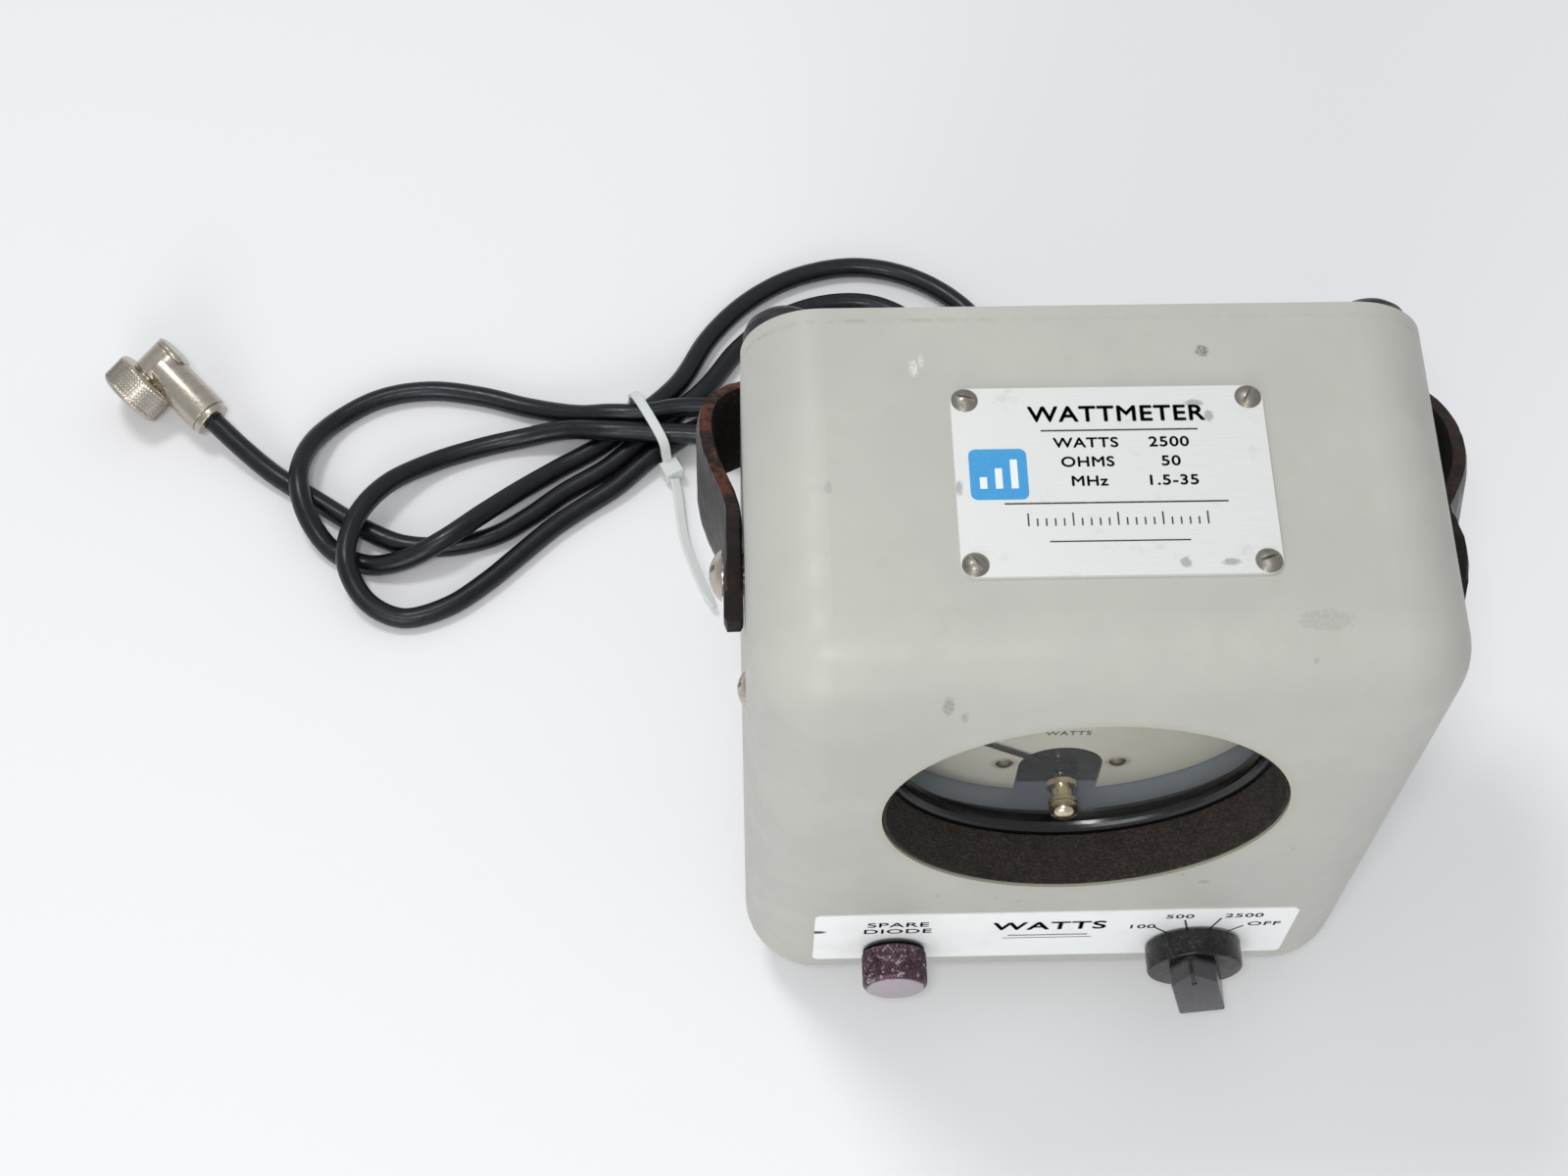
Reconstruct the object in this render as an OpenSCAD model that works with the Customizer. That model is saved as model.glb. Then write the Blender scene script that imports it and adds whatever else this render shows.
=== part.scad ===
// Portable absorption-wattmeter readout: a cast case that stands on its base, with a recessed
// panel meter, a four-position range switch, a screw-capped spare-diode well, a leather carrying
// strap on two side screws, and a coaxial meter lead with a right-angle plug.
// Axes: +X to the right of someone facing the dial, +Y from the dial towards the back, +Z up.
// Origin: on the surface the case stands on, at the centre of the case and its strap.

/* [Case] */
// Width of the case
case_w = 130; // [124:1:136]
// Height of the case, without its feet
case_h = 149; // [146:1:154]
// Depth of the case, with its back cover
case_d = 79.5; // [78:0.5:82]
// Radius of every rounded edge and corner of the case
case_r = 15; // [14:0.5:16]
// Thickness of the cast wall
wall = 2.5; // [2:0.25:3]
// Thickness of the back cover
cover_t = 3; // [2.5:0.5:3.5]
// Height of the rubber feet under the case
base_foot_h = 2.5; // [2:0.5:4]

/* [Meter] */
// Diameter of the round window in the front wall
window_d = 77.4; // [75:0.2:77.6]
// Height of the window's centre above the underside of the case
window_z = 95.2; // [95:0.1:96]
// Distance of the window and its meter to the right of the case's centre
meter_x = -0.8; // [-1.2:0.1:0]
// Height of the pointer's pivot above the underside of the case
pivot_z = 68.5; // [68.5:0.1:69]
// Height of the zero adjuster above the underside of the case
adjuster_z = 67.2; // [66.8:0.1:67.5]
// Angle of the resting pointer, anticlockwise from +X as seen from the front
pointer_rest = 143; // [134:1:144]

/* [Controls] */
// Height of the two controls above the underside of the case
control_z = 23; // [22:0.5:24]
// Distance of the range switch to the right of the centre
switch_x = 31; // [29:0.5:33]
// Distance of the spare-diode well to the left of the centre
diode_x = 33.5; // [32:0.5:36]
// Diameter of the range knob's skirt
knob_d = 20.4; // [19:0.2:21]
// Direction in which the knob's index points, anticlockwise from +X
knob_point = 105; // [45:30:135]
// Diameter of the knurled diode cap
cap_d = 13.8; // [13.5:0.1:15]

/* [Labels] */
// Width of the metal nameplate on the top
plate_w = 57; // [52:1:60]
// Depth of the nameplate
plate_d = 39; // [38:0.5:40]
// Distance of the nameplate's middle to the right of the case's centre
plate_x = 1.3; // [0:0.1:2]
// Width of the white strip on the front
strip_w = 101.6; // [98:0.2:104]

/* [Strap] */
// Width of the leather strap
strap_w = 19; // [16:1:19]
// Thickness of the leather
strap_t = 3.6; // [3.4:0.1:3.6]
// Distance from the strap's screws to the inside of its far end
strap_reach = 53.3; // [53.3:0.1:53.6]
// Angle by which the strap hangs below the level behind the case
strap_tilt = 27; // [25:0.5:27]

/* [Lead] */
// Diameter of the coaxial lead
lead_d = 5; // [4.8:0.1:5]
// Diameter of the plug's coupling nut
nut_d = 16.6; // [16:0.2:18]

/* [Hidden] */
$fn = 96;
fine = 0.01;
inner_r = case_r - wall;
shell_d = case_d - cover_t;
knob_tip = 13;
pivot_y = 38;
pivot_above = 122;
strap_outer = strap_reach + strap_t;
strap_back = pivot_y + strap_outer * cos(strap_tilt) + strap_w / 2 * sin(strap_tilt);
front_y = -(strap_back - knob_tip) / 2;
corner_x = case_w / 2 - case_r;
boss_x = case_w / 2 - 6.5;
boss_r = 4.5;
boss_z = [40, 108];
back_foot_x = 56.4;
back_foot_z = [17, case_h - 17];
back_foot_h = 9.2;
back_foot_d = 16;
foot_stem_r = 2;
base_foot_x = 45;
base_foot_y = [24, 62];
window_r = window_d / 2;
ring_back = 11.2;
glass_y = 15;
glass_t = 2;
dial_y = 22;
dial_t = 0.8;
can_r = 42;
can_wall = 2;
can_back = 46;
frame_y = 24;
frame_t = 2;
frame_screw_r = 44;
frame_screw_angles = [90, 210, 330];
side_screw_y = 22;
side_screw_z = 106;
bridge_t = 1.6;
core_front = 26;
core_back = 38;
core_r = 7;
yoke_r = 9.6;
yoke_wall = 2.4;
coil_gap = 1;
board_y = 50;
board_t = 1.6;
stud_x = 12;
plate_screw = [25.9, 17];
plate_y = 41.4;
plate_t = 0.8;
plate_hole_r = 1.5;
strip_z = [17, 42.6];
strip_t = 0.3;
shaft_r = 3.15;
shaft_clear = 0.05;
bushing_r = 4.75;
well_r = 5.4;
well_clear = 0.08;
gland_x = -30;
gland_z = 14;
gland_out = 12;
strap_side = case_w / 2 + 0.3;
bush_l = strap_t + 0.6;
bush_r = 4;
bush_clear = 0.05;

// How the plug lies: the way its barrel points, the barrel's dip, and its roll onto the nut's rim.
plug_turn = -45;
plug_dip = 13;
plug_roll = 22;
barrel_l = 19.3;
nut_back = 3.8;
nut_l = 7.6;
nut_web = 2;
nose_r = 3.9;
// The elbow's centre. The lowest point of the nut's rim rests on the floor.
rim_drop = (nut_back + nut_l) * sin(plug_roll) * cos(plug_dip)
    + nut_d / 2 * norm([sin(plug_dip), cos(plug_roll) * cos(plug_dip)]);
plug_at = [-207.5, 120, rim_drop + 0.02];

// The lead's route from the gland to the plug. It runs five times through the tie at tie_at:
// three strands lie side by side underneath and two lie across them.
lead_r = lead_d / 2;
low = lead_r;
tie_at = [-86.5, 103.6];
tie_turn = 27;
lead_start = [gland_x, front_y + case_d + gland_out, base_foot_h + gland_z];
lead_end = plug_at + turned([barrel_l * cos(plug_dip), 0, -barrel_l * sin(plug_dip)], plug_turn);
to_tie = [
    [-30, 62, 15.5], [-31, 71, 11], [-34.5, 82, 5.2], [-40, 92, low], [-48, 101.5, low],
    [-58.5, 107.5, low], [-71, 107, 3]
];
loop_b = [
    [-84, 98.6, 3.8], [-94.5, 89.2, 3], [-102, 84, low], [-110, 78, low], [-118, 70.5, low],
    [-126, 63, low], [-135, 56.5, low], [-145.5, 53.5, low], [-154.5, 57.5, 4.4], [-159.2, 66.5, 8],
    [-157.5, 78, 8.2], [-151, 88, 6.8], [-141, 96, 3.4], [-129, 100.8, low], [-118.5, 103, 3.2],
    [-107.5, 103.6, 6], [-96.5, 101.6, 8.8]
];
loop_outer = [
    [-85.1, 100.8, 8.9], [-73, 100, 8.6], [-60, 96.2, 8.2], [-46, 93, 8.1], [-31, 92.5, 7.7],
    [-16, 97, 4.6], [-4.5, 106, low], [1.5, 118.5, low], [0, 131.5, low], [-8, 143, low],
    [-20, 151, low], [-34, 154, low], [-49, 151, low], [-61.5, 143.5, low], [-71.5, 132.5, low],
    [-79, 119, 3.2]
];
loop_a = [
    [-89, 108.6, 3.8], [-99.5, 100.3, 3], [-109.5, 94.2, 2.7], [-118.5, 87, 4.8], [-127, 79.2, 7.4],
    [-136, 72, 7.9], [-145.5, 68.2, 5], [-155, 68.2, low], [-163.5, 72.2, 2.8], [-169.5, 79.8, 6.4],
    [-172, 89.5, 8.2], [-170.5, 99.5, 6], [-165, 108.5, 3], [-154.5, 115.5, low], [-142, 117.8, low],
    [-129, 116, low], [-117, 112.3, 2.8], [-105, 108.4, 5.5], [-96.5, 106.9, 8.2]
];
loop_inner = [
    [-88, 106.4, 8.9], [-78, 108, 8.8], [-66, 107.6, 8.3], [-53, 104.8, 8.1], [-39, 102.8, 6.6],
    [-26, 105, 3.4], [-16, 112.5, low], [-13, 124, low], [-18, 135, low], [-28.5, 142, low],
    [-41, 142.6, low], [-53.5, 138, low], [-64, 129, low], [-73, 116.5, 3]
];
to_plug = [
    [-86.5, 103.6, 3.8], [-97, 94.3, 3], [-107, 88, low], [-116, 81, low], [-125, 75.5, low],
    [-136, 73, low], [-147, 73.8, low], [-157.5, 79, low], [-168.5, 86.5, low], [-178.5, 93.3, 3.1],
    [-186.5, 99.7, 5.2]
];
route = concat([lead_start], to_tie, loop_b, loop_outer, loop_a, loop_inner, to_plug, [lead_end]);

// ---- helpers ----------------------------------------------------------------------------

// Puts what is drawn from the front wall's outer face and the case's underside in its place.
module placed() {
    translate([frame_x, front_y, base_foot_h]) children();
}

// The same, over to the middle of the window.
module metered() {
    placed() translate([meter_x, 0, 0]) children();
}

// A cylinder that starts at the origin and runs along +Y.
module rod_y(r, l) {
    rotate([-90, 0, 0]) cylinder(r = r, h = l);
}

// A cylinder that starts at the origin and runs along +X.
module rod_x(r, l) {
    rotate([0, 90, 0]) cylinder(r = r, h = l);
}

// Turns a profile of [radius, depth] points about the meter's axis, depth running along +Y.
module turned_y(points) {
    rotate([-90, 0, 0]) rotate_extrude() polygon(points);
}

// A rectangle with rounded corners, centred on the origin, drawn with true arcs.
module round_rect(w, h, r) {
    square([w - 2 * r, h], center = true);
    square([w, h - 2 * r], center = true);
    for (x = [-1, 1], y = [-1, 1]) translate([x * (w / 2 - r), y * (h / 2 - r)]) circle(r);
}

// A block whose four long edges and whole front rim share one radius. The front is at y = 0.
module soft_block(w, h, d, r) {
    x = w / 2 - r;
    translate([-x, 0, r]) cube([2 * x, d, h - 2 * r]);
    translate([-w / 2, r, r]) cube([w, d - r, h - 2 * r]);
    translate([-x, r, 0]) cube([2 * x, d - r, h]);
    for (z = [r, h - r]) {
        translate([-x, r, z]) rod_x(r, 2 * x);
        for (side = [-1, 1]) translate([side * x, r, z]) {
            sphere(r);
            rod_y(r, d - r);
        }
    }
    for (side = [-1, 1]) translate([side * x, r, r]) cylinder(r = r, h = h - 2 * r);
}

// A round screw head along +Z, with a straight slot, on a shank that goes down from z = 0.
module slotted_screw(head_r, head_h, shank_r, shank_l) {
    difference() {
        intersection() {
            cylinder(r = head_r, h = head_h);
            dome_r = (head_r * head_r + head_h * head_h) / (2 * head_h);
            translate([0, 0, head_h - dome_r]) sphere(dome_r);
        }
        translate([-head_r, -head_r * 0.12, head_h * 0.55]) cube([2 * head_r, head_r * 0.24, head_h]);
    }
    translate([0, 0, -shank_l]) cylinder(r = shank_r, h = shank_l + fine);
}

// A hexagonal nut along +Z.
module hex_nut(flat_r, l, hole_r) {
    difference() {
        rotate(30) cylinder(r = flat_r / cos(30), h = l, $fn = 6);
        translate([0, 0, -fine]) cylinder(r = hole_r, h = l + 2 * fine);
    }
}

function turned(p, a) = [p[0] * cos(a) - p[1] * sin(a), p[0] * sin(a) + p[1] * cos(a), p[2]];
function unit(v) = v / norm(v);

// A tube of flat sides swept through the points, closed at both ends. It never runs along ref.
module swept_tube(points, r, sides, ref = [0, 0, 1]) {
    n = len(points);
    function along(i) = unit(points[min(i + 1, n - 1)] - points[max(i - 1, 0)]);
    function across(i) = unit(cross(ref, along(i)));
    function over(i) = cross(along(i), across(i));
    function ring(i) = [for (k = [0 : sides - 1])
        points[i] + r * cos(360 * k / sides) * across(i) + r * sin(360 * k / sides) * over(i)];
    vertices = [for (i = [0 : n - 1]) each ring(i)];
    walls = [for (i = [0 : n - 2], k = [0 : sides - 1])
        [i * sides + k, i * sides + (k + 1) % sides,
         (i + 1) * sides + (k + 1) % sides, (i + 1) * sides + k]];
    first = [for (k = [sides - 1 : -1 : 0]) k];
    last = [for (k = [0 : sides - 1]) (n - 1) * sides + k];
    polyhedron(vertices, concat(walls, [first, last]));
}

// ---- case -------------------------------------------------------------------------------

module housing() {
    color("#b3b6a7") placed() difference() {
        union() {
            difference() {
                soft_block(case_w, case_h, shell_d, case_r);
                translate([0, wall, wall])
                    soft_block(case_w - 2 * wall, case_h - 2 * wall, case_d, inner_r);
            }
            for (side = [-1, 1], z = boss_z) translate([side * boss_x, shell_d - 22, z]) rod_y(boss_r, 22);
        }
        translate([meter_x, -fine, window_z]) rod_y(window_r, wall + 2 * fine);
        translate([switch_x, -fine, control_z]) rod_y(bushing_r + 0.1, wall + 2 * fine);
        translate([-diode_x, -fine, control_z]) rod_y(well_r + 0.1, wall + 2 * fine);
        for (side = [-1, 1], z = boss_z)
            translate([side * boss_x, shell_d - 14, z]) rod_y(1.5, 15);
        for (x = [-1, 1], y = [-1, 1])
            translate([plate_x + x * plate_screw[0], plate_y + y * plate_screw[1], case_h - wall - fine])
                cylinder(r = 1.3, h = wall + 2 * fine);
        for (side = [-1, 1]) {
            translate([side * case_w / 2 - 4, pivot_y, pivot_above]) rod_x(2.1, 8);
            translate([side * case_w / 2 - 4, side_screw_y, side_screw_z]) rod_x(1.6, 8);
        }
        for (side = [-1, 1], y = base_foot_y)
            translate([side * base_foot_x, y, -fine]) cylinder(r = foot_stem_r, h = wall + 2 * fine);
    }
}

module back_cover() {
    color("#a9ac9e") placed() difference() {
        translate([0, shell_d, case_h / 2]) rotate([-90, 0, 0]) linear_extrude(cover_t)
            round_rect(case_w, case_h, case_r);
        for (side = [-1, 1], z = boss_z)
            translate([side * boss_x, shell_d - fine, z]) rod_y(1.8, cover_t + 2 * fine);
        for (side = [-1, 1], z = back_foot_z)
            translate([side * back_foot_x, shell_d - fine, z]) rod_y(foot_stem_r, cover_t + 2 * fine);
        translate([gland_x, shell_d - fine, gland_z]) rod_y(4.6, cover_t + 2 * fine);
    }
}

module cover_screws() {
    color("silver") placed() for (side = [-1, 1], z = boss_z)
        translate([side * boss_x, case_d, z]) rotate([-90, 0, 0]) slotted_screw(3.2, 1.8, 1.5, 14);
}

// Round bumpers on the back, each on a stem through the cover.
module back_feet() {
    r = back_foot_d / 2;
    color("#1c1c1e") placed() for (side = [-1, 1], z = back_foot_z)
        translate([side * back_foot_x, case_d, z]) turned_y([
            [0, -cover_t - 1.5], [foot_stem_r, -cover_t - 1.5], [foot_stem_r, 0], [r, 0],
            [r, back_foot_h - 4], [r - 0.7, back_foot_h - 2.2], [r - 2.1, back_foot_h - 0.8],
            [r - 4.2, back_foot_h], [0, back_foot_h]]);
}

module base_feet() {
    color("#1c1c1e") placed() for (side = [-1, 1], y = base_foot_y)
        translate([side * base_foot_x, y, -base_foot_h]) {
            cylinder(r = 6, h = base_foot_h);
            cylinder(r = foot_stem_r, h = base_foot_h + wall);
        }
}

module nameplate() {
    color("#c9cbc8") placed() translate([plate_x, plate_y, case_h]) difference() {
        linear_extrude(plate_t) round_rect(plate_w, plate_d, 3);
        for (x = [-1, 1], y = [-1, 1])
            translate([x * plate_screw[0], y * plate_screw[1], -fine])
                cylinder(r = plate_hole_r, h = plate_t + 2 * fine);
    }
}

module nameplate_screws() {
    color("silver") placed() for (x = [-1, 1], y = [-1, 1])
        translate([plate_x + x * plate_screw[0], plate_y + y * plate_screw[1], case_h + plate_t])
            rotate(x * 35 + y * 20) slotted_screw(2.45, 1.3, 1.3, plate_t + 2);
}

module front_strip() {
    color("#e8e9e6") placed() difference() {
        translate([0, 0, (strip_z[0] + strip_z[1]) / 2]) rotate([90, 0, 0])
            linear_extrude(strip_t) round_rect(strip_w, strip_z[1] - strip_z[0], 1.5);
        translate([switch_x, -1, control_z]) rod_y(bushing_r + 0.1, 2);
        translate([-diode_x, -1, control_z]) rod_y(well_r + 0.1, 2);
    }
}

// ---- strap ------------------------------------------------------------------------------

// The strap's middle line on each side, from its end to the far run: [distance out from the
// centre, distance from the screws]. The leather has set with more of a bulge on the right.
strap_left = [
    [strap_side + strap_t / 2, -9.5], [strap_side + strap_t / 2, 0], [strap_side + strap_t / 2, 9],
    [68.4, 17], [70.4, 25], [71.7, 33], [72, 41], [70.8, 48], [67.2, 53],
    [61.5, strap_reach + strap_t / 2 - 0.1], [54, strap_reach + strap_t / 2]
];
strap_right = [
    [strap_side + strap_t / 2, -9.5], [strap_side + strap_t / 2, 0], [strap_side + strap_t / 2, 5.8],
    [70.1, 12], [73.1, 19], [75.1, 27], [75.6, 35], [74.4, 43], [70.9, 50.2],
    [63, strap_reach + strap_t / 2 - 0.2], [54, strap_reach + strap_t / 2]
];
// Moves everything over so that the box, with the strap's two bulges, stands about the origin.
frame_x = (max([for (p = strap_left) p[0]]) - max([for (p = strap_right) p[0]])) / 2;

// The outline of the whole strap seen square to its loop.
module strap_outline() {
    n = len(strap_left);
    line = concat(strap_right, [for (i = [n - 1 : -1 : 0]) [-strap_left[i][0], strap_left[i][1]]]);
    m = len(line);
    function normal(i) =
        let (t = unit(line[min(i + 1, m - 1)] - line[max(i - 1, 0)])) [-t[1], t[0]];
    polygon(concat(
        [for (i = [0 : m - 1]) line[i] + strap_t / 2 * normal(i)],
        [for (i = [m - 1 : -1 : 0]) line[i] - strap_t / 2 * normal(i)]));
}

module strap() {
    color("#26221f") placed() translate([0, pivot_y, pivot_above]) rotate([-strap_tilt, 0, 0])
        difference() {
            translate([0, 0, -strap_w / 2]) linear_extrude(strap_w) strap_outline();
            for (side = [-1, 1])
                translate([side * (strap_side + strap_t / 2) - 5, 0, 0]) rod_x(bush_r + bush_clear, 10);
        }
}

module strap_bushes() {
    color("#b9b6a8") placed() for (side = [-1, 1])
        translate([side * (case_w + bush_l) / 2, pivot_y, pivot_above]) difference() {
            translate([-bush_l / 2, 0, 0]) rod_x(bush_r, bush_l);
            translate([-bush_l, 0, 0]) rod_x(2.1, 2 * bush_l);
        }
}

module strap_screws() {
    color("silver") placed() for (side = [-1, 1])
        translate([side * (case_w / 2 + bush_l), pivot_y, pivot_above]) rotate([0, side * 90, 0])
            slotted_screw(5, 2.4, 2, 9.4);
}

module side_screws() {
    color("silver") placed() for (side = [-1, 1])
        translate([side * case_w / 2, side_screw_y, side_screw_z]) rotate([0, side * 90, 0])
            slotted_screw(3.6, 1.6, 1.5, 5.5);
}

// ---- meter ------------------------------------------------------------------------------

// Soft ring between the front wall and the meter. Its lip lines the window.
module shock_ring() {
    lip = window_r - 0.1;
    bore = window_r - 0.9;
    color("#3a302b") metered() translate([0, 0, window_z]) turned_y([
        [bore, 0.5], [lip, 0.5], [lip, wall + 0.1], [39, wall + 0.3], [41, wall + 0.9],
        [44, wall + 2.8], [46, wall + 4.8], [46, ring_back], [bore, ring_back]]);
}

module meter_bezel() {
    nose = [for (a = [0 : 15 : 90]) [38.8 - 2.8 * sin(a), ring_back + 2.8 - 2.8 * cos(a)]];
    color("#101114") metered() translate([0, 0, window_z]) difference() {
        turned_y(concat(nose, [
            [36, glass_y], [39.3, glass_y], [39.3, glass_y + glass_t + 0.2],
            [can_r + 0.1, glass_y + glass_t + 0.2], [can_r + 0.1, frame_y], [47, frame_y],
            [47, ring_back]]));
        for (a = frame_screw_angles) rotate([0, -a, 0]) translate([frame_screw_r + 0.5, frame_y - 7, 0])
            rod_y(0.9, 8);
    }
}

module meter_glass() {
    color([0.8, 0.9, 0.9, 0.3]) metered() difference() {
        translate([0, glass_y, window_z]) rod_y(39.1, glass_t);
        translate([0, glass_y - fine, adjuster_z]) rod_y(2.1, glass_t + 2 * fine);
    }
}

module meter_case() {
    front = glass_y + glass_t + 0.3;
    color("#8a919a") metered() difference() {
        translate([0, front, window_z]) rod_y(can_r, can_back - front);
        translate([0, front - fine, window_z]) rod_y(can_r - can_wall, can_back - front - 2);
        for (side = [-1, 1])
            translate([side * stud_x, can_back - 3, window_z]) rod_y(2.05, 4);
    }
}

// Mounting plate for the meter, with an ear bent along each side wall.
module meter_frame() {
    ear_x = case_w / 2 - wall - frame_t;
    color("#9c9f9d") placed() difference() {
        union() {
            translate([-ear_x - frame_t, frame_y, window_z - 16])
                cube([2 * (ear_x + frame_t), frame_t, 32]);
            translate([meter_x, frame_y, window_z]) rod_y(48.5, frame_t);
            for (side = [-1, 1])
                translate([side * (ear_x + frame_t / 2) - frame_t / 2, frame_y - 8, side_screw_z - 8])
                    cube([frame_t, 9, 14]);
        }
        translate([meter_x, frame_y - fine, window_z]) rod_y(can_r + 0.1, frame_t + 2 * fine);
        for (a = frame_screw_angles)
            translate([meter_x, 0, window_z]) rotate([0, -a, 0])
                translate([frame_screw_r + 0.5, frame_y - fine, 0]) rod_y(1.2, frame_t + 2 * fine);
        for (side = [-1, 1])
            translate([side * (ear_x + 1) - 3, side_screw_y, side_screw_z]) rod_x(1.5, 6);
    }
}

module frame_screws() {
    color("silver") metered() for (a = frame_screw_angles)
        translate([0, 0, window_z]) rotate([0, -a, 0])
            translate([frame_screw_r + 0.5, frame_y + frame_t, 0]) rotate([-90, 0, 0])
                slotted_screw(1.9, 1.3, 0.9, frame_t + 5);
}

// Printed plate. A slot in its lower edge clears the movement.
module dial_plate() {
    color("#d8d4c2") metered() difference() {
        translate([0, dial_y, window_z]) rod_y(can_r - can_wall - 0.4, dial_t);
        translate([0, dial_y - fine, pivot_z - 0.5]) rod_y(8.6, dial_t + 2 * fine);
        translate([-8.6, dial_y - fine, window_z - can_r])
            cube([17.2, dial_t + 2 * fine, pivot_z - 0.5 - window_z + can_r]);
        for (side = [-1, 1])
            translate([side * 11.6, dial_y - fine, pivot_z + 0.8]) rod_y(1.1, dial_t + 2 * fine);
    }
}

module dial_screws() {
    color("#8c7c62") metered() for (side = [-1, 1])
        translate([side * 11.6, dial_y, pivot_z + 0.8]) rotate([90, 0, 0]) slotted_screw(1.8, 0.8, 1.05, 3.6);
}

// Soft-iron ring round the moving coil, on two legs that carry the dial plate.
module magnet_yoke() {
    color("#4a4d52") metered() translate([0, 0, pivot_z]) difference() {
        union() {
            translate([0, core_front, 0]) rod_y(yoke_r + yoke_wall, core_back - core_front);
            for (side = [-1, 1]) {
                translate([side * 11.6, dial_y + dial_t, 0.8]) rod_y(1.9, core_front - dial_y - dial_t + 1);
                translate([side * 11.3, core_back - 1, 0]) rod_y(1.6, can_back - 2 - core_back + 1);
            }
        }
        translate([0, core_front - fine, 0]) rod_y(yoke_r, core_back - core_front + 2 * fine);
        for (side = [-1, 1])
            translate([side * 11.6, dial_y + dial_t - fine, 0.8]) rod_y(1.05, 3);
    }
}

module magnet_core() {
    color("#5d6066") metered() translate([0, core_front + 1.6, pivot_z]) difference() {
        rod_y(core_r, core_back - core_front - 3.2);
        translate([0, -fine, 0]) rod_y(1, core_back - core_front);
    }
}

// Upright bar that carries a jewel for the pointer's shaft.
module bridge(y, hub_r) {
    translate([0, y, pivot_z]) difference() {
        union() {
            translate([-2.2, 0, -11.6]) cube([4.4, bridge_t, 23.2]);
            rod_y(hub_r, bridge_t);
        }
        translate([0, -fine, 0]) rod_y(0.65, bridge_t + 2 * fine);
    }
}

// Lies on the front of the yoke, with a dark cover that fills the dial's slot. Two pegs reach past
// the coil and hold the core.
module front_bridge() {
    color("#17181a") metered() {
        bridge(core_front - bridge_t, 6.2);
        for (side = [-1, 1]) {
            translate([side * 5, core_front - fine, pivot_z]) rod_y(0.8, 1.6 + fine);
            translate([0, core_front - bridge_t - 1.6, pivot_z + side * 6.5]) rod_y(1.1, 1.7);
        }
        translate([0, core_front - bridge_t - 2.5, pivot_z]) difference() {
            union() {
                translate([0, 0, -0.5]) rod_y(8.1, 1);
                translate([-8.1, 0, -8.2]) cube([16.2, 1, 7.7]);
            }
            translate([0, -fine, 0]) rod_y(0.9, 2);
        }
    }
}

// Stands behind the yoke on two posts.
module rear_bridge() {
    color("#17181a") metered() {
        bridge(core_back + 1.4, 4.6);
        for (side = [-1, 1])
            translate([0, core_back, pivot_z + side * 10.7]) rod_y(1.1, 1.5);
    }
}

// Wound frame that turns in the gap round the core, on a thin shaft through both bridges.
module coil_frame() {
    out = core_r + coil_gap + 0.9;
    inn = core_r + coil_gap;
    color("#a8552f") metered() translate([0, 0, pivot_z]) rotate([0, -pointer_rest, 0]) {
        difference() {
            translate([-out, core_front + 0.5, -2]) cube([2 * out, core_back - core_front - 1, 4]);
            translate([-inn, core_front + 1.3, -3]) cube([2 * inn, core_back - core_front - 2.6, 6]);
        }
        translate([0, 21, 0]) rod_y(0.6, core_front - 20.4);
        translate([0, core_back - 0.6, 0]) rod_y(0.6, 3.6);
    }
}

// Knife-edge pointer with its counterweight tail.
module pointer() {
    color("#151515") metered() translate([0, 20.9, pivot_z]) rotate([0, -pointer_rest, 0]) difference() {
        union() {
            rod_y(1.7, 0.7);
            translate([0, 0.35, 0]) rotate([90, 0, 0]) translate([0, 0, -0.3]) linear_extrude(0.6)
                polygon([[-3.6, 1], [-3.6, -1], [3, -0.5], [40, -0.2], [42, 0], [40, 0.2], [3, 0.5]]);
        }
        translate([0, -fine, 0]) rod_y(0.6, 1);
    }
}

// A flat spiral strip of the given turns, wound about Y.
module spiral(r0, r1, turns, w, t) {
    steps = turns * 20;
    function at(i, off) = let (a = 360 * turns * i / steps, r = r0 + (r1 - r0) * i / steps + off)
        [r * cos(a), r * sin(a)];
    rotate([90, 0, 0]) linear_extrude(w) polygon(concat(
        [for (i = [0 : steps]) at(i, t / 2)],
        [for (i = [steps : -1 : 0]) at(i, -t / 2)]));
}

module hairsprings() {
    color("#b58d4a") metered() {
        translate([0, 23.9, pivot_z]) spiral(1.6, 5, 4, 0.6, 0.22);
        translate([0, core_back + 0.9, pivot_z]) spiral(1.6, 5, 4, 0.6, 0.22);
    }
}

// Zero corrector: a stepped brass stem behind the glass and a slotted plated tip in front.
module zero_adjuster() {
    color("#b9a25e") metered() translate([0, 0, adjuster_z]) difference() {
        turned_y([
            [0, 10.6], [1.4, 10.7], [2.4, 11.3], [2.9, 12.4], [3, glass_y - 0.4], [2.02, glass_y - 0.4],
            [2.02, glass_y + glass_t + 0.3], [3.1, glass_y + glass_t + 0.3], [3.2, 18.4], [2.7, 19.2],
            [1.3, 19.4], [1.3, 20.4], [0, 20.4]]);
        translate([-4, 9.6, -0.4]) cube([8, 1.9, 0.8]);
    }
}

module meter_studs() {
    color("#b59a55") metered() for (side = [-1, 1])
        translate([side * stud_x, 0, window_z]) difference() {
            union() {
                translate([0, can_back - 3.4, 0]) rod_y(3.4, 1.35);
                translate([0, can_back - 2.4, 0]) rod_y(2, 14);
            }
            translate([-0.3, can_back + 10.8, -3]) cube([0.6, 2, 6]);
        }
}

module circuit_board() {
    color("#4f6b45") metered() difference() {
        translate([-32, board_y, window_z - 26]) cube([64, board_t, 48]);
        for (side = [-1, 1])
            translate([side * stud_x, board_y - fine, window_z]) rod_y(2.1, board_t + 2 * fine);
    }
}

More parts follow.
